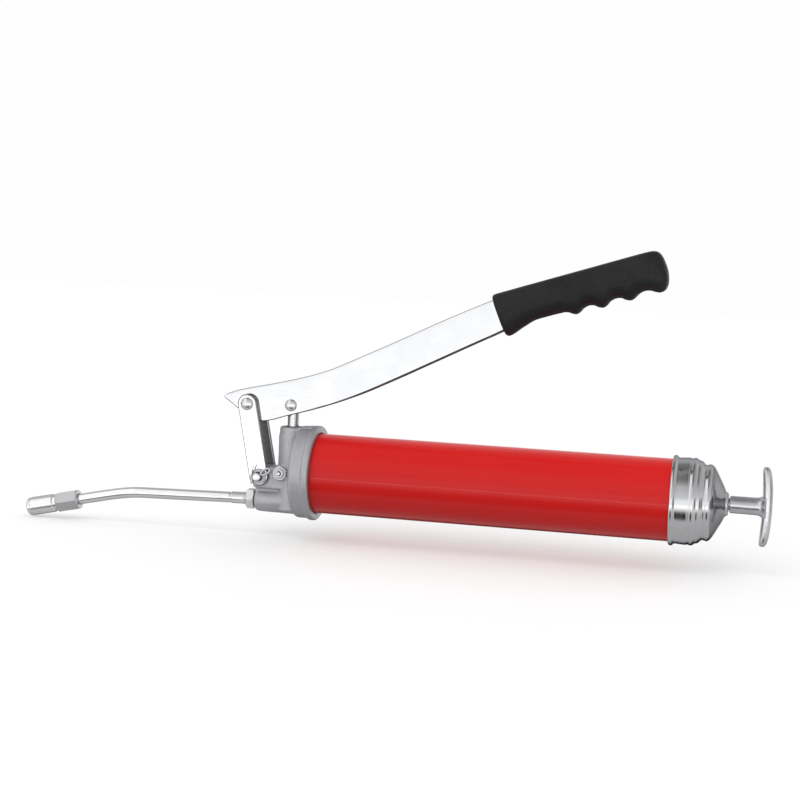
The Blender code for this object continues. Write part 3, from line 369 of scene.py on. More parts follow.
# ------------------------------------------------------------------ shape tools, mm
def to_object(bm, name):
    bmesh.ops.remove_doubles(bm, verts=bm.verts, dist=1e-4)
    bmesh.ops.recalc_face_normals(bm, faces=bm.faces)
    mesh = bpy.data.meshes.new(name)
    bm.to_mesh(mesh)
    bm.free()
    obj = bpy.data.objects.new(name, mesh)
    scene.collection.objects.link(obj)
    return obj


def frame_of(axis, at, side=None):
    x = Vector(axis).normalized()
    z = Vector(side) if side else (Vector((0, 1, 0)) if abs(x.y) < 0.9 else Vector((0, 0, 1)))
    z = (z - x * z.dot(x)).normalized()
    y = z.cross(x)
    return Matrix.Translation(Vector(at)) @ Matrix((x, y, z)).transposed().to_4x4()


def fillet(points, radius, seg=4, closed=False):
    """Rounds the corners of a profile. The radius is one number, or one for each point."""
    n = len(points)
    out = []
    for i, p in enumerate(points):
        r = radius[i] if isinstance(radius, (list, tuple)) else radius
        if r <= 0 or (not closed and i in (0, n - 1)):
            out.append(tuple(p))
            continue
        p = Vector(p)
        a, b = Vector(points[i - 1]), Vector(points[(i + 1) % n])
        u, v = (a - p), (b - p)
        if u.length < 1e-9 or v.length < 1e-9:
            out.append(tuple(p))
            continue
        lu, lv = u.length, v.length
        u.normalize()
        v.normalize()
        c = max(-1.0, min(1.0, u.dot(v)))
        half = math.acos(c) / 2
        if half > math.radians(88) or half < math.radians(4):
            out.append(tuple(p))
            continue
        t = min(r / math.tan(half), 0.48 * lu, 0.48 * lv)
        s, e = p + u * t, p + v * t
        for k in range(seg + 1):
            f = k / seg
            # A rational curve that is a true arc for this corner.
            w = math.sin(half)
            q = (s * (1 - f) ** 2 + p * (2 * w * f * (1 - f)) + e * f * f) / ((1 - f) ** 2 + 2 * w * f * (1 - f) + f * f)
            out.append(tuple(q))
    return out


def lathe(name, profile, sides=128, axis=(1, 0, 0), at=(0, 0, 0), side=None, ring=False, radial=None):
    """A turned piece from a profile of (distance along the axis, radius)."""
    place = frame_of(axis, at, side)
    bm = bmesh.new()
    rows = []
    for a, r in profile:
        if r < 1e-6:
            rows.append([bm.verts.new(place @ Vector((a, 0, 0)))])
            continue
        row = []
        for k in range(sides):
            t = 2 * math.pi * k / sides
            rr = r * (radial(a, t) if radial else 1.0)
            row.append(bm.verts.new(place @ Vector((a, rr * math.cos(t), rr * math.sin(t)))))
        rows.append(row)
    pairs = list(zip(rows, rows[1:]))
    if ring:
        pairs.append((rows[-1], rows[0]))
    for i, (p, q) in enumerate(pairs):
        if len(p) == 1 and len(q) == 1:
            continue
        if len(p) == 1 or len(q) == 1:
            tip, loop = (p[0], q) if len(p) == 1 else (q[0], p)
            if abs(profile[i][0] - profile[(i + 1) % len(profile)][0]) < 1e-9:
                bm.faces.new(loop)
            else:
                for k in range(sides):
                    bm.faces.new((tip, loop[k], loop[(k + 1) % sides]))
            continue
        for k in range(sides):
            bm.faces.new((p[k], p[(k + 1) % sides], q[(k + 1) % sides], q[k]))
    loose = [v for v in bm.verts if not v.link_faces]
    bmesh.ops.delete(bm, geom=loose, context="VERTS")
    return to_object(bm, name)


def bar(a0, a1, r, round_r=0.4, seg=4):
    return fillet([(a0, 0), (a0, r), (a1, r), (a1, 0)], round_r, seg)


def slab(name, outline, y0, y1):
    bm = bmesh.new()
    face = bm.faces.new([bm.verts.new((x, y0, z)) for x, z in outline])
    out = bmesh.ops.extrude_face_region(bm, geom=[face])
    bmesh.ops.translate(bm, verts=[v for v in out["geom"] if isinstance(v, bmesh.types.BMVert)], vec=(0, y1 - y0, 0))
    return to_object(bm, name)


def arc(cx, cz, r, a0, a1, n):
    return [(cx + r * math.cos(math.radians(a0 + (a1 - a0) * i / n)), cz + r * math.sin(math.radians(a0 + (a1 - a0) * i / n))) for i in range(n + 1)]


def apply_all(obj):
    bpy.context.view_layer.update()
    graph = bpy.context.evaluated_depsgraph_get()
    mesh = bpy.data.meshes.new_from_object(obj.evaluated_get(graph))
    obj.modifiers.clear()
    old = obj.data
    obj.data = mesh
    bpy.data.meshes.remove(old)
    mesh.name = obj.name
    return obj


def combine(obj, how, *others):
    for other in others:
        mod = obj.modifiers.new(how.lower(), "BOOLEAN")
        mod.operation = how
        mod.solver = "EXACT"
        mod.object = other
    apply_all(obj)
    for other in others:
        bpy.data.objects.remove(other)
    return obj


def cut(obj, *others):
    return combine(obj, "DIFFERENCE", *others)


def join(obj, *others):
    return combine(obj, "UNION", *others)


def bevel(obj, width, seg=3, angle=30):
    mod = obj.modifiers.new("bevel", "BEVEL")
    mod.width = width
    mod.segments = seg
    mod.limit_method = "ANGLE"
    mod.angle_limit = math.radians(angle)
    mod.miter_outer = "MITER_ARC"
    return apply_all(obj)


def remeshed(obj, voxel, smooth, factor=0.5):
    mod = obj.modifiers.new("remesh", "REMESH")
    mod.mode = "VOXEL"
    mod.voxel_size = voxel
    mod.adaptivity = 0.0
    if smooth:
        mod = obj.modifiers.new("smooth", "SMOOTH")
        mod.factor = factor
        mod.iterations = smooth
    return apply_all(obj)


def displace(obj, height):
    """Moves each vertex along its normal by height(place)."""
    places = [v.co.copy() for v in obj.data.vertices]
    normals = [n.vector.copy() for n in obj.data.vertex_normals]
    flat = []
    for p, n in zip(places, normals):
        flat.extend(p + n * height(p))
    obj.data.vertices.foreach_set("co", flat)
    obj.data.update()


def sweep(name, points, radius, sides=24, bore=0.0, up=(0, 1, 0), round_ends=0.0, offset=None):
    """A round bar or tube along a line. The offset, if any, gives extra radius by (station, angle)."""
    pts = [Vector(p) for p in points]
    bm = bmesh.new()
    frames = []
    side = Vector(up)
    for i, p in enumerate(pts):
        t = (pts[min(i + 1, len(pts) - 1)] - pts[max(i - 1, 0)]).normalized()
        side = (side - t * side.dot(t)).normalized()
        frames.append((p, side.copy(), t.cross(side), t))
    radius_at = radius if callable(radius) else (lambda i: radius)

    def loop(i, r, shift=0.0, extra=True):
        p, u, v, t = frames[i]
        row = []
        for k in range(sides):
            a = 2 * math.pi * k / sides
            rr = r + (offset(i, a) if offset and extra else 0.0)
            row.append(bm.verts.new(p + t * shift + u * (rr * math.cos(a)) + v * (rr * math.sin(a))))
        return row

    outer = []
    n = len(pts)
    e = round_ends
    if e:
        for q in (80, 50, 25):
            f = math.radians(q)
            outer.append(loop(0, radius_at(0) - e * (1 - math.cos(f)), e * (1 - math.sin(f)), False))
        outer.append(loop(0, radius_at(0), e, False))
    else:
        outer.append(loop(0, radius_at(0)))
    for i in range(1, n - 1):
        outer.append(loop(i, radius_at(i)))
    if e:
        outer.append(loop(n - 1, radius_at(n - 1), -e, False))
        for q in (25, 50, 80):
            f = math.radians(q)
            outer.append(loop(n - 1, radius_at(n - 1) - e * (1 - math.cos(f)), -e * (1 - math.sin(f)), False))
    else:
        outer.append(loop(n - 1, radius_at(n - 1)))

    def skin(rows):
        for p, q in zip(rows, rows[1:]):
            for k in range(sides):
                bm.faces.new((p[k], p[(k + 1) % sides], q[(k + 1) % sides], q[k]))

    skin(outer)
    if bore:
        inner = [loop(i, bore, 0.0, False) for i in range(n)]
        skin(inner)
        for o, m in ((outer[0], inner[0]), (outer[-1], inner[-1])):
            for k in range(sides):
                bm.faces.new((o[k], o[(k + 1) % sides], m[(k + 1) % sides], m[k]))
    else:
        bm.faces.new(outer[0])
        bm.faces.new(outer[-1])
    return to_object(bm, name)


def closed_sweep(name, points, radius, sides=12, up=(0, 1, 0)):
    pts = [Vector(p) for p in points]
    bm = bmesh.new()
    rows = []
    n = len(pts)
    for i, p in enumerate(pts):
        t = (pts[(i + 1) % n] - pts[i - 1]).normalized()
        u = Vector(up)
        u = (u - t * u.dot(t)).normalized()
        v = t.cross(u)
        rows.append([bm.verts.new(p + u * (radius * math.cos(2 * math.pi * k / sides)) + v * (radius * math.sin(2 * math.pi * k / sides))) for k in range(sides)])
    for i in range(n):
        p, q = rows[i], rows[(i + 1) % n]
        for k in range(sides):
            bm.faces.new((p[k], p[(k + 1) % sides], q[(k + 1) % sides], q[k]))
    return to_object(bm, name)


def coil(name, x0, x1, mean_r, wire_r, turns, per_turn=44, sides=12, axis=(1, 0, 0), at=(0, 0, 0), dead=0.0):
    """A compression spring. The dead turns at each end lie close together and flat."""
    place = frame_of(axis, at)
    n = int(turns * per_turn)
    pts = []
    lo_, hi_ = x0 + wire_r, x1 - wire_r
    for i in range(n + 1):
        u = turns * i / n
        if dead:
            pitch = wire_r * 2.02
            active = (hi_ - lo_ - 2 * dead * pitch)
            if u < dead:
                x = lo_ + pitch * u
            elif u > turns - dead:
                x = hi_ - pitch * (turns - u)
            else:
                f = (u - dead) / (turns - 2 * dead)
                x = lo_ + pitch * dead + active * f
        else:
            x = lo_ + (hi_ - lo_) * i / n
        a = 2 * math.pi * u
        pts.append(place @ Vector((x, mean_r * math.cos(a), mean_r * math.sin(a))))
    return sweep(name, pts, wire_r, sides, up=axis)


def spline(knots, n):
    k = [Vector(p) for p in knots]
    k = [k[0] * 2 - k[1]] + k + [k[-1] * 2 - k[-2]]
    out = []
    for i in range(1, len(k) - 2):
        p0, p1, p2, p3 = k[i - 1], k[i], k[i + 1], k[i + 2]
        for j in range(n):
            t = j / n
            out.append(0.5 * ((2 * p1) + (p2 - p0) * t + (2 * p0 - 5 * p1 + 4 * p2 - p3) * t * t + (3 * p1 - p0 - 3 * p2 + p3) * t ** 3))
    out.append(k[-2])
    return out


class Curve1D:
    """A smooth height table: a monotone cubic through the entries, so that it doesn't overshoot."""

    def __init__(self, table):
        self.x = [p[0] for p in table]
        self.y = [p[1] for p in table]
        n = len(table)
        d = [(self.y[i + 1] - self.y[i]) / (self.x[i + 1] - self.x[i]) for i in range(n - 1)]
        m = [d[0]] + [0.0] * (n - 2) + [d[-1]]
        for i in range(1, n - 1):
            if d[i - 1] * d[i] > 0:
                h0, h1 = self.x[i] - self.x[i - 1], self.x[i + 1] - self.x[i]
                w1, w2 = 2 * h1 + h0, h1 + 2 * h0
                m[i] = (w1 + w2) / (w1 / d[i - 1] + w2 / d[i])
        self.m = m

    def __call__(self, x):
        xs = self.x
        if x <= xs[0]:
            return self.y[0]
        if x >= xs[-1]:
            return self.y[-1]
        i = 0
        while xs[i + 1] < x:
            i += 1
        h = xs[i + 1] - xs[i]
        t = (x - xs[i]) / h
        return ((2 * t ** 3 - 3 * t * t + 1) * self.y[i] + (t ** 3 - 2 * t * t + t) * h * self.m[i]
                + (-2 * t ** 3 + 3 * t * t) * self.y[i + 1] + (t ** 3 - t * t) * h * self.m[i + 1])


def hexagon(name, a0, a1, flats, axis=(1, 0, 0), at=(0, 0, 0), hole=0.0, chamfer=0.8, side=None, turn=0.0, both=True, edge=0.25):
    r = flats / math.sqrt(3.0)
    place = frame_of(axis, at, side)
    bm = bmesh.new()
    face = bm.faces.new([bm.verts.new((a0, r * math.cos(turn + i * math.pi / 3), r * math.sin(turn + i * math.pi / 3))) for i in range(6)])
    out = bmesh.ops.extrude_face_region(bm, geom=[face])
    bmesh.ops.translate(bm, verts=[v for v in out["geom"] if isinstance(v, bmesh.types.BMVert)], vec=(a1 - a0, 0, 0))
    bmesh.ops.transform(bm, matrix=place, verts=bm.verts)
    obj = to_object(bm, name)
    f = flats / 2 - 0.15
    prof = [(a0 - 0.01, 0), (a0 - 0.01, f), (a0 + chamfer, r + 0.25)]
    prof += [(a1 - chamfer, r + 0.25), (a1 + 0.01, f), (a1 + 0.01, 0)] if both else [(a1 + 0.5, r + 0.25), (a1 + 0.5, 0)]
    combine(obj, "INTERSECT", lathe(name + "_cone", prof, 96, axis, at, side))
    if hole:
        cut(obj, lathe(name + "_hole", [(a0 - 3, 0), (a0 - 3, hole), (a1 + 3, hole), (a1 + 3, 0)], 64, axis, at, side))
    if edge:
        bevel(obj, edge, 2, 25)
    return obj


def piece(obj, name, mat, body, slot, *nodes, sharp=38, weighted=True, subdiv=0):
    """Puts a finished shape in the world, in metres, on its body."""
    obj.name = name
    obj.data.name = name
    obj.data.transform(Matrix.Scale(0.001, 4))
    obj.data.transform(Matrix.Translation(ORIGIN))
    obj.data.materials.clear()
    obj.data.materials.append(M[mat])
    obj.data.shade_smooth()
    if sharp:
        obj.data.set_sharp_from_angle(angle=math.radians(sharp))
    if subdiv:
        mod = obj.modifiers.new("subdivision", "SUBSURF")
        mod.levels = mod.render_levels = subdiv
    if weighted:
        mod = obj.modifiers.new("weighted_normal", "WEIGHTED_NORMAL")
        mod.keep_sharp = True
        mod.weight = 80
    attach(obj, body)
    if nodes:
        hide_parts(*nodes)
    return obj


def true_flats(obj):
    """Shades the flat sides dead flat, whatever small faces a hole leaves round itself."""
    mesh = obj.data
    flat = {}
    for p in mesh.polygons:
        if abs(p.normal.y) > 0.9997:
            for i in p.vertices:
                flat[i] = p.normal.copy()
    normals = [c.vector.copy() for c in mesh.corner_normals]
    for p in mesh.polygons:
        for li in p.loop_indices:
            n = flat.get(mesh.loops[li].vertex_index)
            if n is not None and p.normal.dot(n) > 0.6:
                normals[li] = n
    mesh.normals_split_custom_set(normals)


# ------------------------------------------------------------------ pump head
def pump_head():
    prof = [
        (HEAD_X0, 0), (HEAD_X0, HEAD_R), (-5.2, HEAD_R + 0.1), (-4.2, RIM_R), (0, RIM_R), (0, HEAD_BORE_R),
        (HEAD_SEAT_X, HEAD_BORE_R), (HEAD_SEAT_X, 0),
    ]
    head = lathe("pump_head_w", fillet(prof, [0, 2.8, 1.2, 1.2, 1.3, 0.6, 0.4, 0], 6), 144)
    boss = lathe("h_boss", [(-28, 0), (-28, BOSS_R), (BOSS_TOP - 6.2, BOSS_R + 0.1), (BOSS_TOP - 5.6, BOSS_R - 0.35), (BOSS_TOP - 1.0, BOSS_R - 0.4), (BOSS_TOP, BOSS_R - 1.4), (BOSS_TOP, 0)],
                 96, (0, 0, 1), (PLUNGER_X, 0, 0))
    outlet = lathe("h_outlet", fillet([(OUTLET_X, 0), (OUTLET_X, 8.2), (OUTLET_X + 6, 8.7), (HEAD_X0 + 2, 8.9), (HEAD_X0 + 2, 0)], [0, 3.2, 0, 0, 0], 6), 96, (1, 0, 0), (0, 0, OUTLET_Z))
    ear = slab("h_ear", [(PLUNGER_X, 2.8), (A.x, 2.8)] + arc(A.x, A.z, 6.8, 97, 180, 16) + [(-46.6, -10.5), (-46.2, EAR_FOOT), (PLUNGER_X, EAR_FOOT)], -EAR_HALF, EAR_HALF)
    bevel(ear, 0.6, 2, 50)
    rib = slab("h_rib", [(PLUNGER_X, 18.0), (PLUNGER_X, BOSS_TOP - 0.5), (-12.0, 33.0), (-3.4, 33.6), (-2.6, 32.0), (-3.6, 30.6), (-12.0, 29.4), (-12.0, 18.0)], -6.8, 6.8)
    bevel(rib, 0.8, 2, 50)
    web = slab("h_web", [(HEAD_X0 + 1, -8.0), (-45.4, -8.0), (-45.4, -20.0), (HEAD_X0 + 1, -20.0)], -5.4, 5.4)
    pad = lathe("h_pad", [(-3, 0), (-3, 5.6), (0.7, 5.6), (0.7, 0)], 64, (0, -1, 0), BLEED)
    join(head, boss, outlet, ear, rib, web, pad)
    # The slot for the link's foot pin, the plunger bore and the way out.
    cutters = [
        lathe("c_bore", [(BORE_BOTTOM, 0), (BORE_BOTTOM, BORE_R), (40, BORE_R), (40, 0)], 64, (0, 0, 1), (PLUNGER_X, 0, 0)),
        lathe("c_seal", [(BOSS_TOP - 3.4, 0), (BOSS_TOP - 3.4, 6.3), (40, 6.3), (40, 0)], 64, (0, 0, 1), (PLUNGER_X, 0, 0)),
        lathe("c_outlet", [(-60, 0), (-60, 5.1), (-33.5, 5.1), (-33.5, 0)], 64, (1, 0, 0), (0, 0, OUTLET_Z)),
        lathe("c_port", [(-34, 0), (-34, 2.0), (PLUNGER_X, 2.0), (PLUNGER_X, 0)], 40, (1, 0, 0), (0, 0, OUTLET_Z)),
        lathe("c_inlet", [(PLUNGER_X, 0), (PLUNGER_X, 3.0), (-8, 3.0), (-8, 0)], 48, (1, 0, 0), (0, 0, 3.0)),
        slab("c_slot", arc(A.x + 2.2, A.z, 4.1, -90, 90, 16) + arc(A.x - 0.4, A.z, 4.1, 90, 270, 16), -12, 12),
        lathe("c_bleed", [(-2, 0), (-2, 2.6), (3.2, 2.6), (3.2, 0)], 48, (0, 1, 0), BLEED),
    ]
    cut(head, *cutters)
    remeshed(head, 0.475, 5, 0.5)
    # The shape of a casting: the mould's parting line runs round the middle plane, a little proud.
    def cast_skin(p):
        proud = 0.0
        if abs(p.y) < 0.45 and p.x < -15.5 and math.hypot(p.x - PLUNGER_X, p.y) > 5:
            proud = 0.10 * (1 - abs(p.y) / 0.45)
        return proud + noise.noise(p * 0.11) * 0.10 + noise.noise(p * 0.45) * 0.03

    displace(head, cast_skin)
    return piece(head, "pump_head_casting", "cast", "gun_body", "cast_alloy", "pump_head", sharp=0, weighted=False)


pump_head()

piece(lathe("seal_w", fillet([(BOSS_TOP - 3.1, 4.3), (BOSS_TOP - 0.5, 4.3), (BOSS_TOP - 0.3, 5.0), (BOSS_TOP - 0.3, 6.0), (BOSS_TOP - 3.1, 6.0)], 0.25, 3, True), 72, (0, 0, 1), (PLUNGER_X, 0, 0), ring=True),
      "plunger_wiper_seal", "rubber", "gun_body", "black_rubber", "plunger_seal")

# ------------------------------------------------------------------ outlet valve
piece(lathe("ball_w", [(-3.0 * math.cos(math.pi * i / 32), 3.0 * math.sin(math.pi * i / 32)) for i in range(33)], 64, (1, 0, 0), (-36.1, 0, OUTLET_Z)),
      "check_ball", "steel_z", "check_valve", "bright_steel", "outlet_check_ball", sharp=0)
check_spring = piece(coil("spring_w", -43.7, -39.4, 2.6, 0.3, 3, 40, 10, at=(0, 0, OUTLET_Z)), "check_spring_coil", "spring", "gun_body", "spring_steel", "outlet_check_spring", sharp=50)

# ------------------------------------------------------------------ bleed valve
bleed = hexagon("bleed_w", 1.0, 4.4, 9.6, (0, -1, 0), BLEED, chamfer=0.7, side=(0, 0, 1), turn=math.pi / 6, edge=0.0)
join(bleed, lathe("b_shank", [(-2.6, 0), (-2.6, 2.2), (2.0, 2.2), (2.0, 0)], 48, (0, -1, 0), BLEED, side=(0, 0, 1)),
     lathe("b_neck", fillet([(3.0, 0), (3.0, 3.6), (5.6, 3.6), (5.6, 0)], 0.5, 4), 64, (0, -1, 0), BLEED, side=(0, 0, 1)))
cut(bleed, lathe("b_hole", [(0.8, 0), (0.8, 1.7), (9, 1.7), (9, 0)], 40, (0, -1, 0), BLEED, side=(0, 0, 1)))
bevel(bleed, 0.18, 2, 28)
piece(bleed, "bleed_valve_hexagon", "zinc", "gun_body", "zinc_plate", "bleed_valve_body")
piece(lathe("stem_w", fillet([(2.4, 0), (2.4, 1.4), (6.9, 1.4), (6.9, 0)], 0.5, 4), 48, (0, -1, 0), BLEED),
      "bleed_valve_button", "steel_x", "bleed_button", "bright_steel", "bleed_valve_stem")


# ------------------------------------------------------------------ spout
def spout():
    knots = [(-44.2, OUTLET_Z), (-52.0, -22.05), (-66.0, -22.35), (-82.0, -22.8), (-96.0, -23.2), (-110.0, -23.55), (-122.0, -23.9), (-132.0, -24.15), (-139.0, -24.5),
             (-146.0, -25.3), (-152.5, -26.4), (-160.0, -27.9), (-170.0, K0.z + math.tan(K_SLOPE) * 12.8), (K0.x, K0.z), (K0.x - 9.0, K0.z - math.tan(K_SLOPE) * 9.0)]
    line = spline([(x, 0, z) for x, z in knots], 60)
    # Thread on the part that goes into the nut, a plain drawn tube after it.
    out, travel, last = [], [0.0], line[0]
    for i in range(1, len(line)):
        travel.append(travel[-1] + (line[i] - line[i - 1]).length)
    pts, lengths = [], []
    step_fine, step = 0.125, 1.2
    target, i = 0.0, 0
    total = travel[-1]
    while target < total:
        while travel[i + 1] < target:
            i += 1
        f = (target - travel[i]) / (travel[i + 1] - travel[i])
        pts.append(line[i].lerp(line[i + 1], f))
        lengths.append(target)
        target += step_fine if target < 22.0 else step
    pts.append(line[-1])
    lengths.append(total)

    def radius(i):
        s = lengths[i]
        if s < 11.0:
            return 4.55
        if s < 11.5:
            return 4.55 - (s - 11.0) / 0.5 * 0.25
        if s < 20.2:
            return 4.30
        if s < 20.6:
            return 4.30 - (s - 20.2) / 0.4 * 0.75
        if s < 21.3:
            return 3.55
        if s < 21.8:
            return 3.55 + (s - 21.3) / 0.5 * 0.35
        return SPOUT_R

    def thread(i, a):
        s = lengths[i]
        if s > 19.8:
            return 0.0
        t = (s / 1.0 + a / (2 * math.pi)) % 1.0
        deep = 0.42 if s < 11.2 else 0.16
        return -deep * (1 - abs(2 * t - 1)) * min(1.0, (19.8 - s) / 0.8)

    return sweep("spout_w", pts, radius, 48, SPOUT_BORE_R, offset=thread, round_ends=0.35)


piece(spout(), "spout_pipe", "plated", "gun_body", "bright_steel", "spout_tube", sharp=50)
piece(hexagon("nut_w", -52.6, -46.9, 13.6, (1, 0, 0), (0, 0, OUTLET_Z - 0.1), hole=5.15, chamfer=1.2, side=(0, 1, 0), turn=math.pi / 6, edge=0.22),
      "spout_lock_nut", "plated", "gun_body", "zinc_plate", "spout_nut")

# ------------------------------------------------------------------ coupler
KS = (0, 1, 0)
kbody = hexagon("kbody_w", 0.0, 17.2, 13.6, K_AXIS, K0, chamfer=1.7, side=KS, turn=math.pi / 6, edge=0.0)
join(kbody, lathe("k_stub", [(16, 0), (16, 5.0), (24.0, 5.0), (24.0, 0)], 64, K_AXIS, K0, KS))
cut(kbody, lathe("k_rear", [(-3, 0), (-3, 4.3), (10.2, 4.3), (10.2, 0)], 64, K_AXIS, K0, KS), lathe("k_way", [(9, 0), (9, 1.8), (30, 1.8), (30, 0)], 40, K_AXIS, K0, KS))
bevel(kbody, 0.22, 2, 28)
piece(kbody, "coupler_hexagon", "zinc", "gun_body", "zinc_plate", "coupler_body")

sleeve_profile = [
    (17.6, 5.4), (17.6, 5.85), (19.6, 5.85), (20.3, 6.75), (37.4, 6.75), (37.9, 6.5), (39.6, 6.5), (K_LEN, 5.5), (K_LEN, 3.5), (37.6, 3.5), (37.6, 5.4),
]
piece(lathe("sleeve_w", fillet(sleeve_profile, [0.15, 0.2, 0.3, 0.35, 0.3, 0.3, 0.5, 0.3, 0.3, 0.1, 0.1], 4, True), 128, K_AXIS, K0, KS, ring=True),
      "coupler_nose_sleeve", "plated", "gun_body", "zinc_plate", "coupler_sleeve")

jaws = lathe("jaws_w", fillet([(31.0, 2.4), (31.0, 5.0), (36.4, 5.0), (37.3, 4.1), (37.3, 2.9), (34.5, 2.4)], 0.2, 3, True), 96, K_AXIS, K0, KS, ring=True)
slits = []
for i in range(3):
    turn = Matrix.Rotation(math.radians(30 + 120 * i), 4, K_AXIS)
    bm = bmesh.new()
    bmesh.ops.create_cube(bm, size=1.0)
    bmesh.ops.scale(bm, vec=(8.0, 0.8, 5.0), verts=bm.verts)
    bmesh.ops.translate(bm, verts=bm.verts, vec=(36.5, 0, 3.9))
    bmesh.ops.transform(bm, matrix=frame_of(K_AXIS, K0, turn @ Vector((0, 1, 0))), verts=bm.verts)
    slits.append(to_object(bm, f"k_slit{i}"))
cut(jaws, *slits)
piece(jaws, "coupler_jaw_collet", "steel_x", "coupler_jaws", "bright_steel", "coupler_collet")
piece(lathe("kseal_w", fillet([(28.2, 1.3), (28.2, 4.6), (30.6, 4.6), (30.6, 1.3)], 0.3, 4, True), 72, K_AXIS, K0, KS, ring=True), "coupler_lip_seal", "rubber", "coupler_jaws", "black_rubber", "coupler_seal")
coupler_spring = piece(coil("kspring_w", 24.2, 28.0, 3.8, 0.35, 2.5, 44, 10, K_AXIS, K0), "coupler_spring_coil", "spring", "gun_body", "spring_steel", "coupler_spring", sharp=50)

# ------------------------------------------------------------------ barrel
barrel_profile = [(BARREL_X0, BARREL_R - BARREL_WALL), (BARREL_X0, BARREL_R), (BARREL_X1, BARREL_R), (BARREL_X1, BARREL_R - BARREL_WALL)]
outer = fillet(barrel_profile, 0.5, 4, True)
dense = []
for i, p in enumerate(outer):
    q = outer[(i + 1) % len(outer)]
    dense.append(p)
    if abs(q[0] - p[0]) > 50:
        dense += [(p[0] + (q[0] - p[0]) * k / 24, p[1] + (q[1] - p[1]) * k / 24) for k in range(1, 24)]
piece(lathe("barrel_w", dense, 192, ring=True), "barrel_enamelled_tube", "red", "gun_body", "red_enamel", "barrel_tube")
piece(lathe("gasket_w", fillet([(-10.7, 24.6), (-10.7, 28.3), (-9.2, 28.3), (-9.2, 24.6)], 0.4, 4, True), 144, ring=True), "barrel_seat_gasket", "rubber", "gun_body", "black_rubber", "barrel_gasket")


# ------------------------------------------------------------------ end cap
def end_cap():
    skin = spline([(x, 0, r) for x, r in [
        (250.9, 31.0), (252.0, 31.15), (252.9, 30.8), (253.8, 29.9), (254.8, 29.6), (257.0, 29.75), (260.5, 29.95), (262.0, 29.9), (262.9, 29.6),
        (263.7, 29.75), (264.8, 30.1), (266.0, 29.95), (267.1, 29.35), (267.9, 28.7), (268.4, 28.5), (269.2, 28.4), (270.2, 27.95), (271.1, 27.2), (271.9, 26.35),
        (272.6, 25.85), (273.4, 25.8), (274.6, 26.2), (275.8, 26.35), (276.9, 25.95), (278.0, 25.0), (279.1, 23.6), (280.4, 21.5), (281.8, 18.9), (283.2, 16.2),
        (284.6, 13.6), (285.7, 11.4), (286.6, 9.3), (287.2, 8.3), (287.9, 8.05), (288.5, 7.6), (289.0, 6.8)]], 5)
    skin = [(p.x, p.z) for p in skin]
    start = [(250.2, 29.1), (250.2, 30.2), (250.45, 30.75)]
    end = [(289.2, 6.2), (289.2, 4.8), (288.9, 4.4)]
    inside = [(286.4, 4.4), (285.0, 8.8), (283.2, 11.9), (280.4, 17.2), (277.6, 22.6), (275.6, 24.8), (268.6, 26.2), (264.6, 28.8), (250.5, 28.8)]
    return lathe("cap_w", start + skin + end + inside, 192, ring=True)


cap = piece(end_cap(), "end_cap_spun", "spun", "gun_body", "bright_chrome", "end_cap", sharp=55, weighted=False)
cap.data.materials.append(M["drawn"])
for p in cap.data.polygons:
    # The cone gets a darker plate colour than the rings: a painted darker reflection on the cone.
    if 277.6 < (p.center.x - ORIGIN.x) * 1000 < 286.9:
        p.material_index = 1

# ------------------------------------------------------------------ follower, spring and rod
follower_spring = piece(coil("fspring_w", 10.9, 278.4, 17.6, 1.2, 11, 72, 14, dead=0.75), "follower_spring_coil", "spring", "gun_body", "spring_steel", "follower_spring", sharp=50)
cup = [
    (4.8, 4.5), (4.8, 21.6), (4.2, 23.6), (3.4, 25.2), (3.6, 26.9), (5.2, 26.7), (9.0, 26.2), (20.0, 26.3), (23.0, 26.9), (23.9, 26.7),
    (24.0, 25.0), (20.5, 23.6), (9.0, 21.8), (9.0, 4.5),
]
piece(lathe("cup_w", fillet(cup, 0.5, 4, True), 144, ring=True), "follower_rubber_cup", "rubber", "follower", "black_rubber", "follower_cup")
plate = [(9.3, 4.5), (9.3, 20.6), (10.4, 21.5), (19.6, 22.5), (19.8, 21.4), (10.6, 20.2), (10.6, 4.5)]
piece(lathe("plate_w", fillet(plate, 0.4, 4, True), 128, ring=True), "follower_steel_plate", "zinc", "follower", "zinc_plate", "follower_plate")
rod = [
    (-2.6, 0), (-2.6, 2.9), (4.9, 2.9), (4.9, ROD_R), (290.6, ROD_R), (290.6, 3.0), (306.2, 3.0), (306.2, 0),
]


def rod_thread(a, t):
    if -2.3 < a < 4.6:
        u = (a / 0.9 + t / (2 * math.pi)) % 1.0
        return 1 - 0.09 * (1 - abs(2 * u - 1))
    return 1.0


rod_rows = fillet(rod, [0, 0.5, 0.1, 0.3, 0.3, 0.1, 0.5, 0], 4)
fine = []
for p, q in zip(rod_rows, rod_rows[1:]):
    fine.append(p)
    if abs(p[1] - 2.9) < 0.01 and abs(q[1] - 2.9) < 0.01 and p[0] < 5:
        k = max(2, int((q[0] - p[0]) / 0.11))
        fine += [(p[0] + (q[0] - p[0]) * j / k, 2.9) for j in range(1, k)]
fine.append(rod_rows[-1])
piece(lathe("rod_w", fine, 64, radial=rod_thread), "follower_pull_rod", "steel_x", "follower_pull", "bright_steel", "follower_rod", sharp=50)
piece(lathe("fwasher_w", fillet([(3.2, 3.2), (3.2, 9.0), (4.5, 9.0), (4.5, 3.2)], 0.25, 3, True), 96, ring=True), "rod_washer", "zinc", "follower_pull", "zinc_plate", "follower_washer")
piece(hexagon("fnut_w", -1.8, 2.9, 10.0, hole=3.2, chamfer=0.8, side=(0, 0, 1), edge=0.18), "rod_nut", "zinc", "follower_pull", "zinc_plate", "follower_nut")


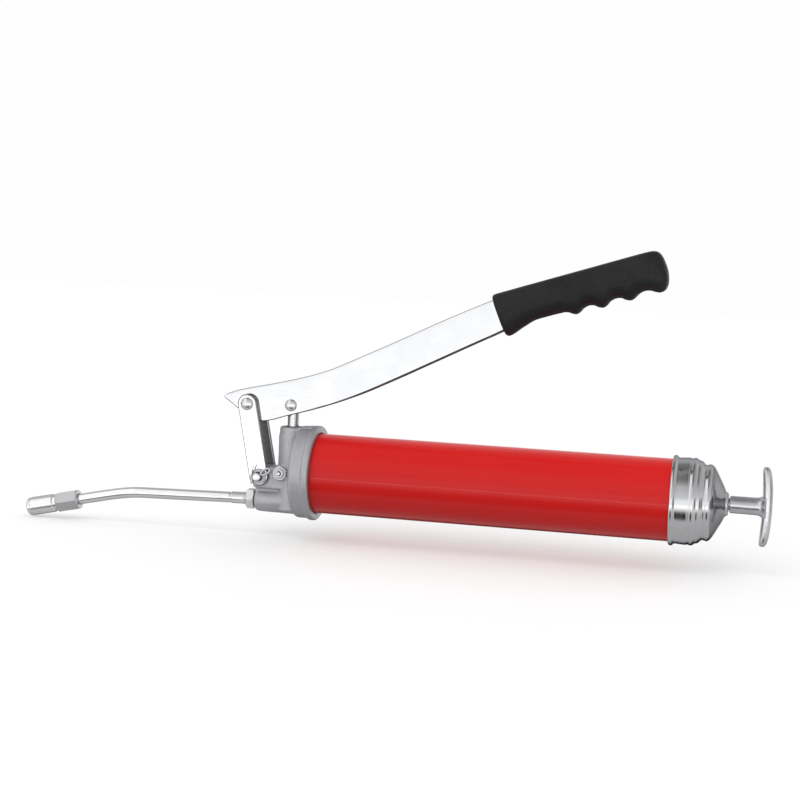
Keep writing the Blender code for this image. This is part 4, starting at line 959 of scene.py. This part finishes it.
def t_handle():
    stem = lathe("tstem_w", [(289.7, 0), (289.7, 5.4), (290.2, 5.9), (307.5, 6.0), (309.6, 6.3), (311.0, 6.9), (312.2, 7.9), (313.6, 9.0), (313.6, 0)], 96)
    bm = bmesh.new()
    n, m, half = 60, 48, 27.2
    rows = []
    for i in range(1, n):
        u = -math.cos(math.pi * i / n)
        z = half * u
        end = math.sqrt(max(0.0, 1 - abs(u) ** 12))
        inner = 311.4 - 1.6 * abs(u) ** 2.0
        outer_x = 318.4 - 2.6 * abs(u) ** 2.2
        cx, hx = (inner + outer_x) / 2, (outer_x - inner) / 2 * (0.25 + 0.75 * end)
        hy = (6.3 - 1.4 * abs(u) ** 2) * (0.25 + 0.75 * end)
        rows.append([bm.verts.new((cx + hx * math.copysign(abs(math.cos(a)) ** 0.82, math.cos(a)), hy * math.copysign(abs(math.sin(a)) ** 0.82, math.sin(a)), z))
                     for a in (2 * math.pi * k / m for k in range(m))])
    for p, q in zip(rows, rows[1:]):
        for k in range(m):
            bm.faces.new((p[k], p[(k + 1) % m], q[(k + 1) % m], q[k]))
    bm.faces.new(rows[0])
    bm.faces.new(rows[-1])
    join(stem, to_object(bm, "tbar_w"))
    remeshed(stem, 0.34, 6, 0.5)
    displace(stem, lambda p: noise.noise(p * 0.22) * 0.06)
    cut(stem, lathe("t_hole", [(285, 0), (285, 3.3), (306.6, 3.3), (306.6, 0)], 48), lathe("t_hole2", [(285, 0), (285, 4.3), (291.0, 4.3), (291.0, 0)], 48))
    return stem


piece(t_handle(), "t_handle_grip", "handle", "follower_pull", "zinc_plate", "t_handle", sharp=60, weighted=False)

# ------------------------------------------------------------------ plunger
prod = lathe("plunger_w", fillet([(-11.0, 0), (-11.0, PLUNGER_R), (C.z - 1, PLUNGER_R), (C.z - 1, 0)], [0, 0.6, 0, 0], 4), 96, (0, 0, 1), (PLUNGER_X, 0, 0))
join(prod, lathe("p_eye", fillet([(-5.6, 0), (-5.6, 6.0), (5.6, 6.0), (5.6, 0)], 0.9, 4), 72, (0, 1, 0), C))
cut(prod, lathe("p_hole", [(-8, 0), (-8, PLUNGER_PIN_R + 0.3), (8, PLUNGER_PIN_R + 0.3), (8, 0)], 48, (0, 1, 0), C))
bevel(prod, 0.25, 2, 35)
piece(prod, "plunger_ground_rod", "steel_z", "plunger", "bright_steel", "plunger_rod")

# ------------------------------------------------------------------ lever
LEVER_TOP = Curve1D([
    (-71.6, 51.5), (-69.6, 53.2), (-66.2, 54.7), (-62.0, 56.3), (-55.7, 58.0), (-46.0, 60.3), (-38.8, 61.9), (-26.0, 65.1), (-13.4, 68.5),
    (-4.0, 71.4), (5.3, 74.8), (16.0, 79.6), (27.9, 85.4), (48.2, 95.3), (63.0, 102.7), (78.2, 110.4), (98.1, 120.1), (110.0, 125.7),
    (120.2, 130.3), (132.0, 134.9), (230.0, 166.8),
])
LEVER_FOOT = Curve1D([
    (-71.6, 51.2), (-65.2, 46.9), (-58.0, 41.8), (-52.0, 37.9), (-48.0, 36.2), (-43.5, 35.3), (-37.1, 36.1), (-22.9, 40.5), (-10.3, 44.1),
    (6.4, 49.6), (29.0, 58.7), (44.0, 65.9), (59.4, 73.6), (75.0, 81.6), (89.4, 89.0), (101.0, 95.0), (113.2, 101.2), (122.0, 105.6), (129.8, 109.8),
    (140.0, 116.2), (152.0, 121.8), (230.0, 147.2),
])


def lever_channel():
    h, w = LEVER_HALF, LEVER_T
    stations = [-71.1, -70.7, -70.1, -69.4, -68.6, -67.7, -66.7, -65.6, -64.4, -63.1, -61.8, -60.0]
    x = -58.5
    while x < 222:
        stations.append(x)
        x += 1.5
    stations.append(222.0)
    bm = bmesh.new()
    rows = []
    for x in stations:
        top, foot = LEVER_TOP(x), LEVER_FOOT(x)
        slope = (LEVER_TOP(x + 0.7) - LEVER_TOP(x - 0.7)) / 1.4
        low = (LEVER_FOOT(x + 0.7) - LEVER_FOOT(x - 0.7)) / 1.4
        height = max(0.3, top - foot)
        up = math.hypot(1, slope)
        web = min(w * up, height * 0.55)
        big = min(2.1, height * 0.40)
        small = min(0.95, height * 0.2)
        foot_r = min(0.7 + 0.9 * min(1.0, max(0.0, (x + 20) / 50)), height * 0.2)
        ring = []
        # Outside, from the lower edge of the near flange up to the web's middle; z radii grow with the slope.
        for k in range(5):
            a = math.radians(90 * k / 4)
            ring.append((-h + w / 2 - (w / 2) * math.sin(a) if k else -h + w / 2, foot + foot_r * math.hypot(1, low) * (1 - math.cos(a))))
        # A line close to each rounding keeps the flat side's shading its own.
        low_end, high_end = ring[-1][1], top - big * up * 0.97
        near_edge = min(0.5, 0.2 * (high_end - low_end))
        ring += [(-h, low_end + near_edge), (-h, high_end - near_edge)]
        for k in range(9):
            a = math.radians(90 * k / 8)
            ring.append((-h + big * (1 - math.cos(a)), top - big * up * (1 - math.sin(a)) * 0.97))
        ring += [(-h * 0.45, top), (0.0, top)]
        half_out = ring[:-1]
        inner = [(0.0, top - web), (-h * 0.45, top - web)]
        for k in range(5):
            a = math.radians(90 * k / 4)
            inner.append((-h + w + small * (1 - math.sin(a)), top - web - small * up * (1 - math.cos(a))))
        for k in range(4):
            a = math.radians(90 * k / 4)
            inner.append((-h + w / 2 + (w / 2) * math.cos(a), foot + foot_r * math.hypot(1, low) * (1 - math.sin(a)) if k else foot + foot_r * math.hypot(1, low)))
        left = half_out + [(0.0, top)]
        right = [(-y, z) for y, z in reversed(half_out)]
        right_in = [(-y, z) for y, z in reversed(inner[1:])]
        loop = left + right + right_in + [inner[0]] + inner[1:]
        rows.append([bm.verts.new((x, y, z)) for y, z in loop])
    m = len(rows[0])
    for p, q in zip(rows, rows[1:]):
        for k in range(m):
            bm.faces.new((p[k], p[(k + 1) % m], q[(k + 1) % m], q[k]))
    bm.faces.new(rows[0])
    bm.faces.new(rows[-1])
    obj = to_object(bm, "lever_w")
    # The link's rivet turns in this hole; the plunger's rivet is pressed tight in its own, with no gap to see.
    return cut(obj, lathe("l_hole_b", [(-12, 0), (-12, PIN_R + 0.3), (12, PIN_R + 0.3), (12, 0)], 40, (0, 1, 0), B))


channel = piece(lever_channel(), "lever_chrome_channel", "chrome", "lever", "bright_chrome", "lever_channel", sharp=50, weighted=False)
true_flats(channel)
channel.data.materials.append(M["edge_and_shade"])
for p in channel.data.polygons:
    # The sheet's cut edge on the down-facing foot, painted dark grey: partly the unplated cut, partly painted shade
    # under the lever.
    low = LEVER_FOOT((p.center.x - ORIGIN.x) * 1000)
    if p.normal.z < -0.16 and (p.center.z - ORIGIN.z) * 1000 < low + 2.6:
        p.material_index = 1


def rivet(half, r, head_r, head_h, at, seg=8):
    dome = [(half + 0.25, head_r - 0.1), (half + 0.32, head_r)] + [(half + 0.32 + (head_h - 0.07) * math.sin(math.pi / 2 * i / seg), head_r * math.cos(math.pi / 2 * i / seg)) for i in range(1, seg)] + [(half + 0.25 + head_h, 0)]
    prof = [(half + 0.25, r)] + dome
    prof = [(-a, rr) for a, rr in reversed(prof)] + prof
    return lathe("rivet_w", prof, 64, (0, 1, 0), at)


piece(rivet(LEVER_HALF, PLUNGER_PIN_R, 4.3, 2.2, C), "plunger_rivet", "rivet", "lever", "bright_chrome", "plunger_pin", sharp=60)

# ------------------------------------------------------------------ grip
GS = math.radians(18.3)
GRIP_AT = Vector((125.2, 0, 119.8))
GRIP_UP = Curve1D([(0, 15.0), (3, 15.4), (60, 15.3), (104, 15.2), (111, 15.0), (114.6, 14.2), (116.8, 12.6), (118.2, 10.0), (119.0, 6.6), (119.4, 3.0)])
GRIP_DOWN = Curve1D([
    (0, -14.9), (2.2, -15.4), (6, -14.7), (11, -13.05), (17, -11.15), (21, -9.95), (24, -9.5), (29, -9.4), (38, -9.5), (43.5, -9.7), (47.0, -10.6), (49.8, -12.5), (52.2, -13.2), (54.8, -12.4), (57.8, -10.5),
    (61.4, -9.7), (64.8, -10.4), (67.8, -12.6), (70.8, -13.7), (73.6, -12.8), (77, -10.6), (80.8, -9.9), (84.2, -10.6), (87.4, -12.9), (90.4, -13.9), (93.2, -13.1), (96.4, -11.2),
    (100.4, -10.2), (104.2, -10.8), (107.8, -12.8), (111.0, -14.0), (114.2, -13.4), (116.6, -11.2), (118.2, -8.0), (119.0, -4.8), (119.4, -2.2),
])
GRIP_HALF = Curve1D([(0, 11.2), (2.5, 11.8), (8, 11.6), (30, 11.4), (104, 11.2), (110, 10.9), (114.5, 10.0), (117.2, 8.4), (118.6, 6.4), (119.4, 3.4)])


def grip_point(s, u, v):
    s = s - 0.08 * u * max(0.0, 1 - s / 12.0)
    return Vector((GRIP_AT.x + s * math.cos(GS) - u * math.sin(GS), v, GRIP_AT.z + s * math.sin(GS) + u * math.cos(GS)))


def grip():
    stations = [0.0, 0.35, 0.9, 1.7, 2.6, 4.0]
    s = 5.2
    while s < 106:
        stations.append(s)
        s += 1.1
    stations += [106.5, 107.7, 108.9, 110.1, 111.3, 112.4, 113.4, 114.3, 115.1, 115.8, 116.5, 117.1, 117.6, 118.1, 118.5, 118.8, 119.05, 119.25, 119.4]
    m = 72
    bm = bmesh.new()
    rows = []
    for s in stations:
        pull = 1.0 - 0.045 * max(0.0, 1 - s / 0.9) ** 1.5  # the rolled lip of the open end
        top, down, half = GRIP_UP(s), GRIP_DOWN(s), GRIP_HALF(s)
        row = []
        for k in range(m):
            a = 2 * math.pi * k / m
            c, q = math.cos(a), math.sin(a)
            v = half * math.copysign(abs(c) ** 0.66, c) * pull
            w = math.copysign(abs(q) ** 0.66, q)
            mid = (top + down) / 2
            # The fingers' side narrows towards its crests, the back stays broad.
            narrow = 1 - 0.10 * max(0.0, -w) ** 2
            row.append(bm.verts.new(grip_point(s, mid + (top - down) / 2 * w * pull, v * narrow)))
        rows.append(row)
    for p, q in zip(rows, rows[1:]):
        for k in range(m):
            bm.faces.new((p[k], p[(k + 1) % m], q[(k + 1) % m], q[k]))
    bm.faces.new(rows[0])
    bm.faces.new(rows[-1])
    obj = to_object(bm, "grip_w")
    bm = bmesh.new()
    rows = []
    for x in [100.0 + 4.0 * k for k in range(31)] + [224.0]:
        top, foot = LEVER_TOP(x) + 0.45, LEVER_FOOT(x) - 0.45
        hw, r = LEVER_HALF + 0.35, 2.0
        loop = []
        for cx, cz, a0 in ((hw - r, top - r, 0), (-hw + r, top - r, 90), (-hw + r, foot + r, 180), (hw - r, foot + r, 270)):
            loop += [(cx + r * math.cos(math.radians(a0 + 30 * j)), cz + r * math.sin(math.radians(a0 + 30 * j))) for j in range(4)]
        rows.append([bm.verts.new((x, y, z)) for y, z in loop])
    for p, q in zip(rows, rows[1:]):
        for k in range(16):
            bm.faces.new((p[k], p[(k + 1) % 16], q[(k + 1) % 16], q[k]))
    bm.faces.new(rows[0])
    bm.faces.new(rows[-1])
    cut(obj, to_object(bm, "pocket_w"))
    return obj


piece(grip(), "lever_vinyl_grip", "vinyl", "lever", "black_vinyl", "lever_grip", sharp=40)

# ------------------------------------------------------------------ links and pins
ALONG = math.degrees(math.atan2(B.z - A.z, B.x - A.x))
OUTLINE = arc(A.x, A.z, LINK_R, ALONG + 90, ALONG + 270, 40) + arc(B.x, B.z, LINK_R, ALONG - 90, ALONG + 90, 40)


def link_plate(y0, y1):
    obj = slab("plate_w", OUTLINE, y0, y1)
    cut(obj, *[lathe(f"n{i}", [(-20, 0), (-20, PIN_R + 0.3), (20, PIN_R + 0.3), (20, 0)], 48, (0, 1, 0), at) for i, at in enumerate((A, B))])
    return bevel(obj, 1.1, 6, 40)


def paint_rim_reflection(obj):
    """The rounded edge and the rim, painted greyer than the polished face: a painted darker reflection along the edge.
    """
    obj.data.materials.append(M["rim"])
    for p in obj.data.polygons:
        if abs(p.normal.y) < 0.97:
            p.material_index = 2


def paint_plate_back_shade(obj, y):
    """The side that faces the other plate is painted dark grey: painted shade between the two plates."""
    obj.data.materials.append(M["back_shade"])
    for p in obj.data.polygons:
        if all(abs(obj.data.vertices[i].co.y - ORIGIN.y - y * 0.001) < 2e-5 for i in p.vertices):
            p.material_index = 1


for name, node, y0, y1, inside in (("link_chrome_plate_near", "link_plate_near", -LINK_OUT, -LINK_IN, -LINK_IN), ("link_chrome_plate_far", "link_plate_far", LINK_IN, LINK_OUT, LINK_IN)):
    plate = piece(link_plate(y0, y1), name, "chrome", "link", "bright_chrome", node, sharp=50, weighted=False)
    true_flats(plate)
    paint_plate_back_shade(plate, inside)
    paint_rim_reflection(plate)
piece(rivet(LINK_OUT, PIN_R, 4.5, 2.2, B), "link_rivet", "rivet", "link", "bright_chrome", "link_pin_top", sharp=60)
piece(lathe("sp1", fillet([(-9.35, 3.3), (-9.35, 5.6), (-8.25, 5.6), (-8.25, 3.3)], 0.2, 3, True), 64, (0, 1, 0), B, ring=True), "spacer_washer_near", "zinc", "link", "zinc_plate", "link_spacer_near")
piece(lathe("sp2", fillet([(8.25, 3.3), (8.25, 5.6), (9.35, 5.6), (9.35, 3.3)], 0.2, 3, True), 64, (0, 1, 0), B, ring=True), "spacer_washer_far", "zinc", "link", "zinc_plate", "link_spacer_far")

CY = -15.2
pin = lathe("pin_w", fillet([(-17.6, 0), (-17.6, PIN_R), (12.3, PIN_R), (12.3, 4.7), (14.8, 4.7), (14.8, 0)], [0, 0.9, 0.1, 0.3, 1.1, 0], 5), 64, (0, 1, 0), A)
CDIR = Vector((math.cos(math.radians(34)), 0, math.sin(math.radians(34))))
CAT = A + Vector((0, CY, 0))
cut(pin, lathe("q_hole", [(-6, 0), (-6, 1.15), (6, 1.15), (6, 0)], 24, CDIR, CAT))
piece(pin, "link_foot_pin", "rivet", "link", "zinc_plate", "link_pin_bottom")
piece(lathe("lw", fillet([(-13.3, 3.3), (-13.3, 5.8), (-12.3, 5.8), (-12.3, 3.3)], 0.25, 3, True), 72, (0, 1, 0), A, ring=True), "link_foot_washer", "zinc", "link", "zinc_plate", "link_washer")


def cotter():
    side = Vector((-CDIR.z, 0, CDIR.x))
    shank = lathe("q_shank", bar(-3.7, 4.4, 0.85, 0.3), 24, CDIR, CAT)
    loop = [CAT + CDIR * (7.3 - 3.7 * math.cos(a)) + side * (1.7 * math.sin(a)) for a in (2 * math.pi * i / 44 for i in range(44))]
    eye = closed_sweep("q_eye", loop, 0.8, 16)
    up = [CAT + Vector((x, 0, z)) for x, z in ((-2.6, -1.6), (-3.7, -1.7), (-4.3, -0.8), (-4.4, 0.6), (-4.0, 3.2), (-3.3, 5.8), (-2.4, 8.2))]
    down = [CAT + Vector((x, 0, z)) for x, z in ((-2.5, -1.9), (-3.4, -2.3), (-3.9, -3.2), (-4.15, -4.3), (-4.2, -5.4))]
    legs = [sweep("q_up", spline(up, 6), 0.55, 16, round_ends=0.3), sweep("q_down", spline(down, 6), 0.55, 16, round_ends=0.3)]
    join(shank, eye, *legs)
    return remeshed(shank, 0.11, 3, 0.5)


piece(cotter(), "link_split_pin", "steel_x", "link", "spring_steel", "link_cotter_pin", sharp=0, weighted=False)


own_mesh(follower_spring)
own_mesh(check_spring)
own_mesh(coupler_spring)

# ------------------------------------------------------------------ floor, light, camera
floor_mesh = bpy.data.meshes.new("floor")
bm = bmesh.new()
bmesh.ops.create_grid(bm, x_segments=2, y_segments=2, size=6.0)
bm.to_mesh(floor_mesh)
bm.free()
floor = bpy.data.objects.new("floor", floor_mesh)
scene.collection.objects.link(floor)
floor.location.z = -0.0004
f = Nodes("pale_floor")
f.set(Base_Color=f.mix(f.fit(f.noise(3.0, 2.0), 0.3, 0.7, 0, 1), (0.66, 0.66, 0.66), (0.68, 0.68, 0.68)), Roughness=0.75, Normal=f.bump(f.noise(400.0, 2.0), 0.03, 0.0002))
f.set(**{"Specular_IOR_Level": 0.1, "Emission_Color": (1.0, 1.0, 1.0), "Emission_Strength": 0.27})
floor.data.materials.append(f.mat)
floor.visible_glossy = False
floor.visible_diffuse = False


def studio():
    """A white studio: soft white for the eye and for matt surfaces, and for shiny ones the cards and the dark gaps between them."""
    world = bpy.data.worlds.new("studio")
    scene.world = world
    world.use_nodes = True
    t = world.node_tree
    t.nodes.clear()
    out = t.nodes.new("ShaderNodeOutputWorld")
    coords = t.nodes.new("ShaderNodeTexCoord")
    sep = t.nodes.new("ShaderNodeSeparateXYZ")
    t.links.new(coords.outputs["Generated"], sep.inputs[0])

    def m(how, a, b=0.0, c=0.0):
        node = t.nodes.new("ShaderNodeMath")
        node.operation = how
        for i, v in enumerate((a, b, c)):
            if isinstance(v, bpy.types.NodeSocket):
                t.links.new(v, node.inputs[i])
            else:
                node.inputs[i].default_value = v
        return node.outputs[0]

    elevation = m("MULTIPLY_ADD", m("ARCSINE", sep.outputs["Z"]), 1 / math.pi, 0.5)
    around = m("MULTIPLY", m("ABSOLUTE", m("ARCTAN2", sep.outputs["X"], m("ABSOLUTE", sep.outputs["Y"]))), 2 / math.pi)

    def steps(value, *stops):
        ramp = t.nodes.new("ShaderNodeValToRGB")
        t.links.new(value, ramp.inputs[0])
        els = ramp.color_ramp.elements
        while len(els) < len(stops):
            els.new(0.5)
        for e, (at, v) in zip(els, stops):
            e.position = at
            e.color = (v, v, v, 1)
        return ramp.outputs[0]

    def by_height(*stops):
        return steps(elevation, *[((deg + 90) / 180, v) for deg, v in stops])

    def blend(share, a, b, how="MIX"):
        node = t.nodes.new("ShaderNodeMix")
        node.data_type = "RGBA"
        node.blend_type = how
        for i, v in ((0, share), (6, a), (7, b)):
            if isinstance(v, bpy.types.NodeSocket):
                t.links.new(v, node.inputs[i])
            else:
                node.inputs[i].default_value = v
        return node.outputs[2]

    # Front and back: a long white card level with the gun, a dim roof, and a narrow black strip low in the middle.
    front = by_height((-90, 0.46), (-52, 0.54), (-40, 0.60), (-20, 0.64), (-14, 1.12), (8, 1.14), (13, 0.74), (30, 0.64), (43, 0.54), (60, 0.21), (80, 0.16), (90, 0.24))
    strip = by_height((-49, 0.0), (-39, 1.0), (-26, 1.0), (-18, 0.0))
    middle = steps(around, (0.24, 1.0), (0.34, 0.0))
    front = blend(m("MULTIPLY", strip, middle), front, (0.035, 0.035, 0.035, 1))
    # Sides: softer, with dark gaps only at eye level, seen in the upright rods.
    sides = by_height((-90, 0.46), (-40, 0.52), (-20, 0.58), (-12, 0.86), (8, 0.95), (14, 0.60), (40, 0.50), (60, 0.36), (90, 0.24))
    all_round = blend(steps(around, (0.42, 0.0), (0.56, 1.0)), front, sides)
    gap = m("MULTIPLY", steps(around, (0.68, 0.0), (0.77, 1.0), (0.92, 1.0), (0.99, 0.4)), by_height((-11.5, 0.0), (-9, 1.0), (4, 1.0), (10, 0.0)))
    cards = blend(gap, all_round, (0.12, 0.12, 0.124, 1))
    # A tall card round to the spout's side, which makes the pipe's upper half white.
    left = m("MULTIPLY", steps(m("MULTIPLY", sep.outputs["X"], -1.0), (0.285, 0.0), (0.315, 1.0), (0.60, 1.0), (0.72, 0.0)), m("LESS_THAN", sep.outputs["Y"], 0.0))
    cards = blend(m("MULTIPLY", left, by_height((8, 0.0), (14, 1.0), (60, 1.0), (72, 0.0))), cards, (1.12, 1.12, 1.12, 1))
    # One long thin lamp level with the eye draws the bright line along the tube.
    lamp = by_height((-10.2, 0.0), (-9.2, 1.0), (-7.4, 1.0), (-6.4, 0.0))
    cards = blend(m("MULTIPLY", lamp, steps(around, (0.30, 1.0), (0.45, 0.0))), cards, (3.0, 3.0, 3.0, 1))

    def background(colour, strength):
        node = t.nodes.new("ShaderNodeBackground")
        if isinstance(colour, bpy.types.NodeSocket):
            t.links.new(colour, node.inputs[0])
        else:
            node.inputs[0].default_value = (*colour, 1)
        node.inputs[1].default_value = strength
        return node.outputs[0]

    path = t.nodes.new("ShaderNodeLightPath")

    def choose(which, yes, no):
        node = t.nodes.new("ShaderNodeMixShader")
        t.links.new(which, node.inputs[0])
        t.links.new(no, node.inputs[1])
        t.links.new(yes, node.inputs[2])
        return node.outputs[0]

    shiny = background(cards, 1.0)
    below = t.nodes.new("ShaderNodeMapRange")
    t.links.new(sep.outputs["Z"], below.inputs[0])
    for i, v in enumerate((-0.35, 0.15, 0.62, 1.0)):
        below.inputs[i + 1].default_value = v
    soft = background(below.outputs[0], 0.83)
    seen = background((1.0, 1.0, 1.0), 0.99)
    t.links.new(choose(path.outputs["Is Camera Ray"], seen, choose(path.outputs["Is Glossy Ray"], shiny, soft)), out.inputs[0])


studio()


def soft_sun(name, direction, strength, angle):
    """A very wide light from one side, the same all over the floor."""
    data = bpy.data.lights.new(name, "SUN")
    data.energy = strength
    data.angle = math.radians(angle)
    obj = bpy.data.objects.new(name, data)
    scene.collection.objects.link(obj)
    obj.rotation_euler = (-Vector(direction)).to_track_quat("-Z", "Y").to_euler()
    obj.visible_glossy = False


soft_sun("key", (-0.35, -0.75, 0.9), 1.0, 50)
soft_sun("rear", (0.3, 0.8, 0.9), 0.30, 60)

# The camera: a short telephoto from the front, a little to the right and above, rolled a little.
AZ, EL, ROLL, DIST = math.radians(12.44), math.radians(5.0), math.radians(2.67), 1.2154
fwd = Vector((-math.sin(AZ) * math.cos(EL), math.cos(AZ) * math.cos(EL), -math.sin(EL)))
right = Vector((math.cos(AZ), math.sin(AZ), 0))
up = Vector((-math.sin(AZ) * math.sin(EL), math.cos(AZ) * math.sin(EL), math.cos(EL)))
r2 = right * math.cos(ROLL) + up * math.sin(ROLL)
u2 = up * math.cos(ROLL) - right * math.sin(ROLL)
target = ORIGIN + Vector((56.69, 0, 56.37)) * 0.001
cam_data = bpy.data.cameras.new("camera")
cam_data.sensor_width = 36.0
cam_data.lens = 77.35
cam_data.clip_start, cam_data.clip_end = 0.05, 50.0
cam = bpy.data.objects.new("camera", cam_data)
scene.collection.objects.link(cam)
cam.matrix_world = Matrix.Translation(target - fwd * DIST) @ Matrix((r2, u2, -fwd)).transposed().to_4x4()
scene.camera = cam
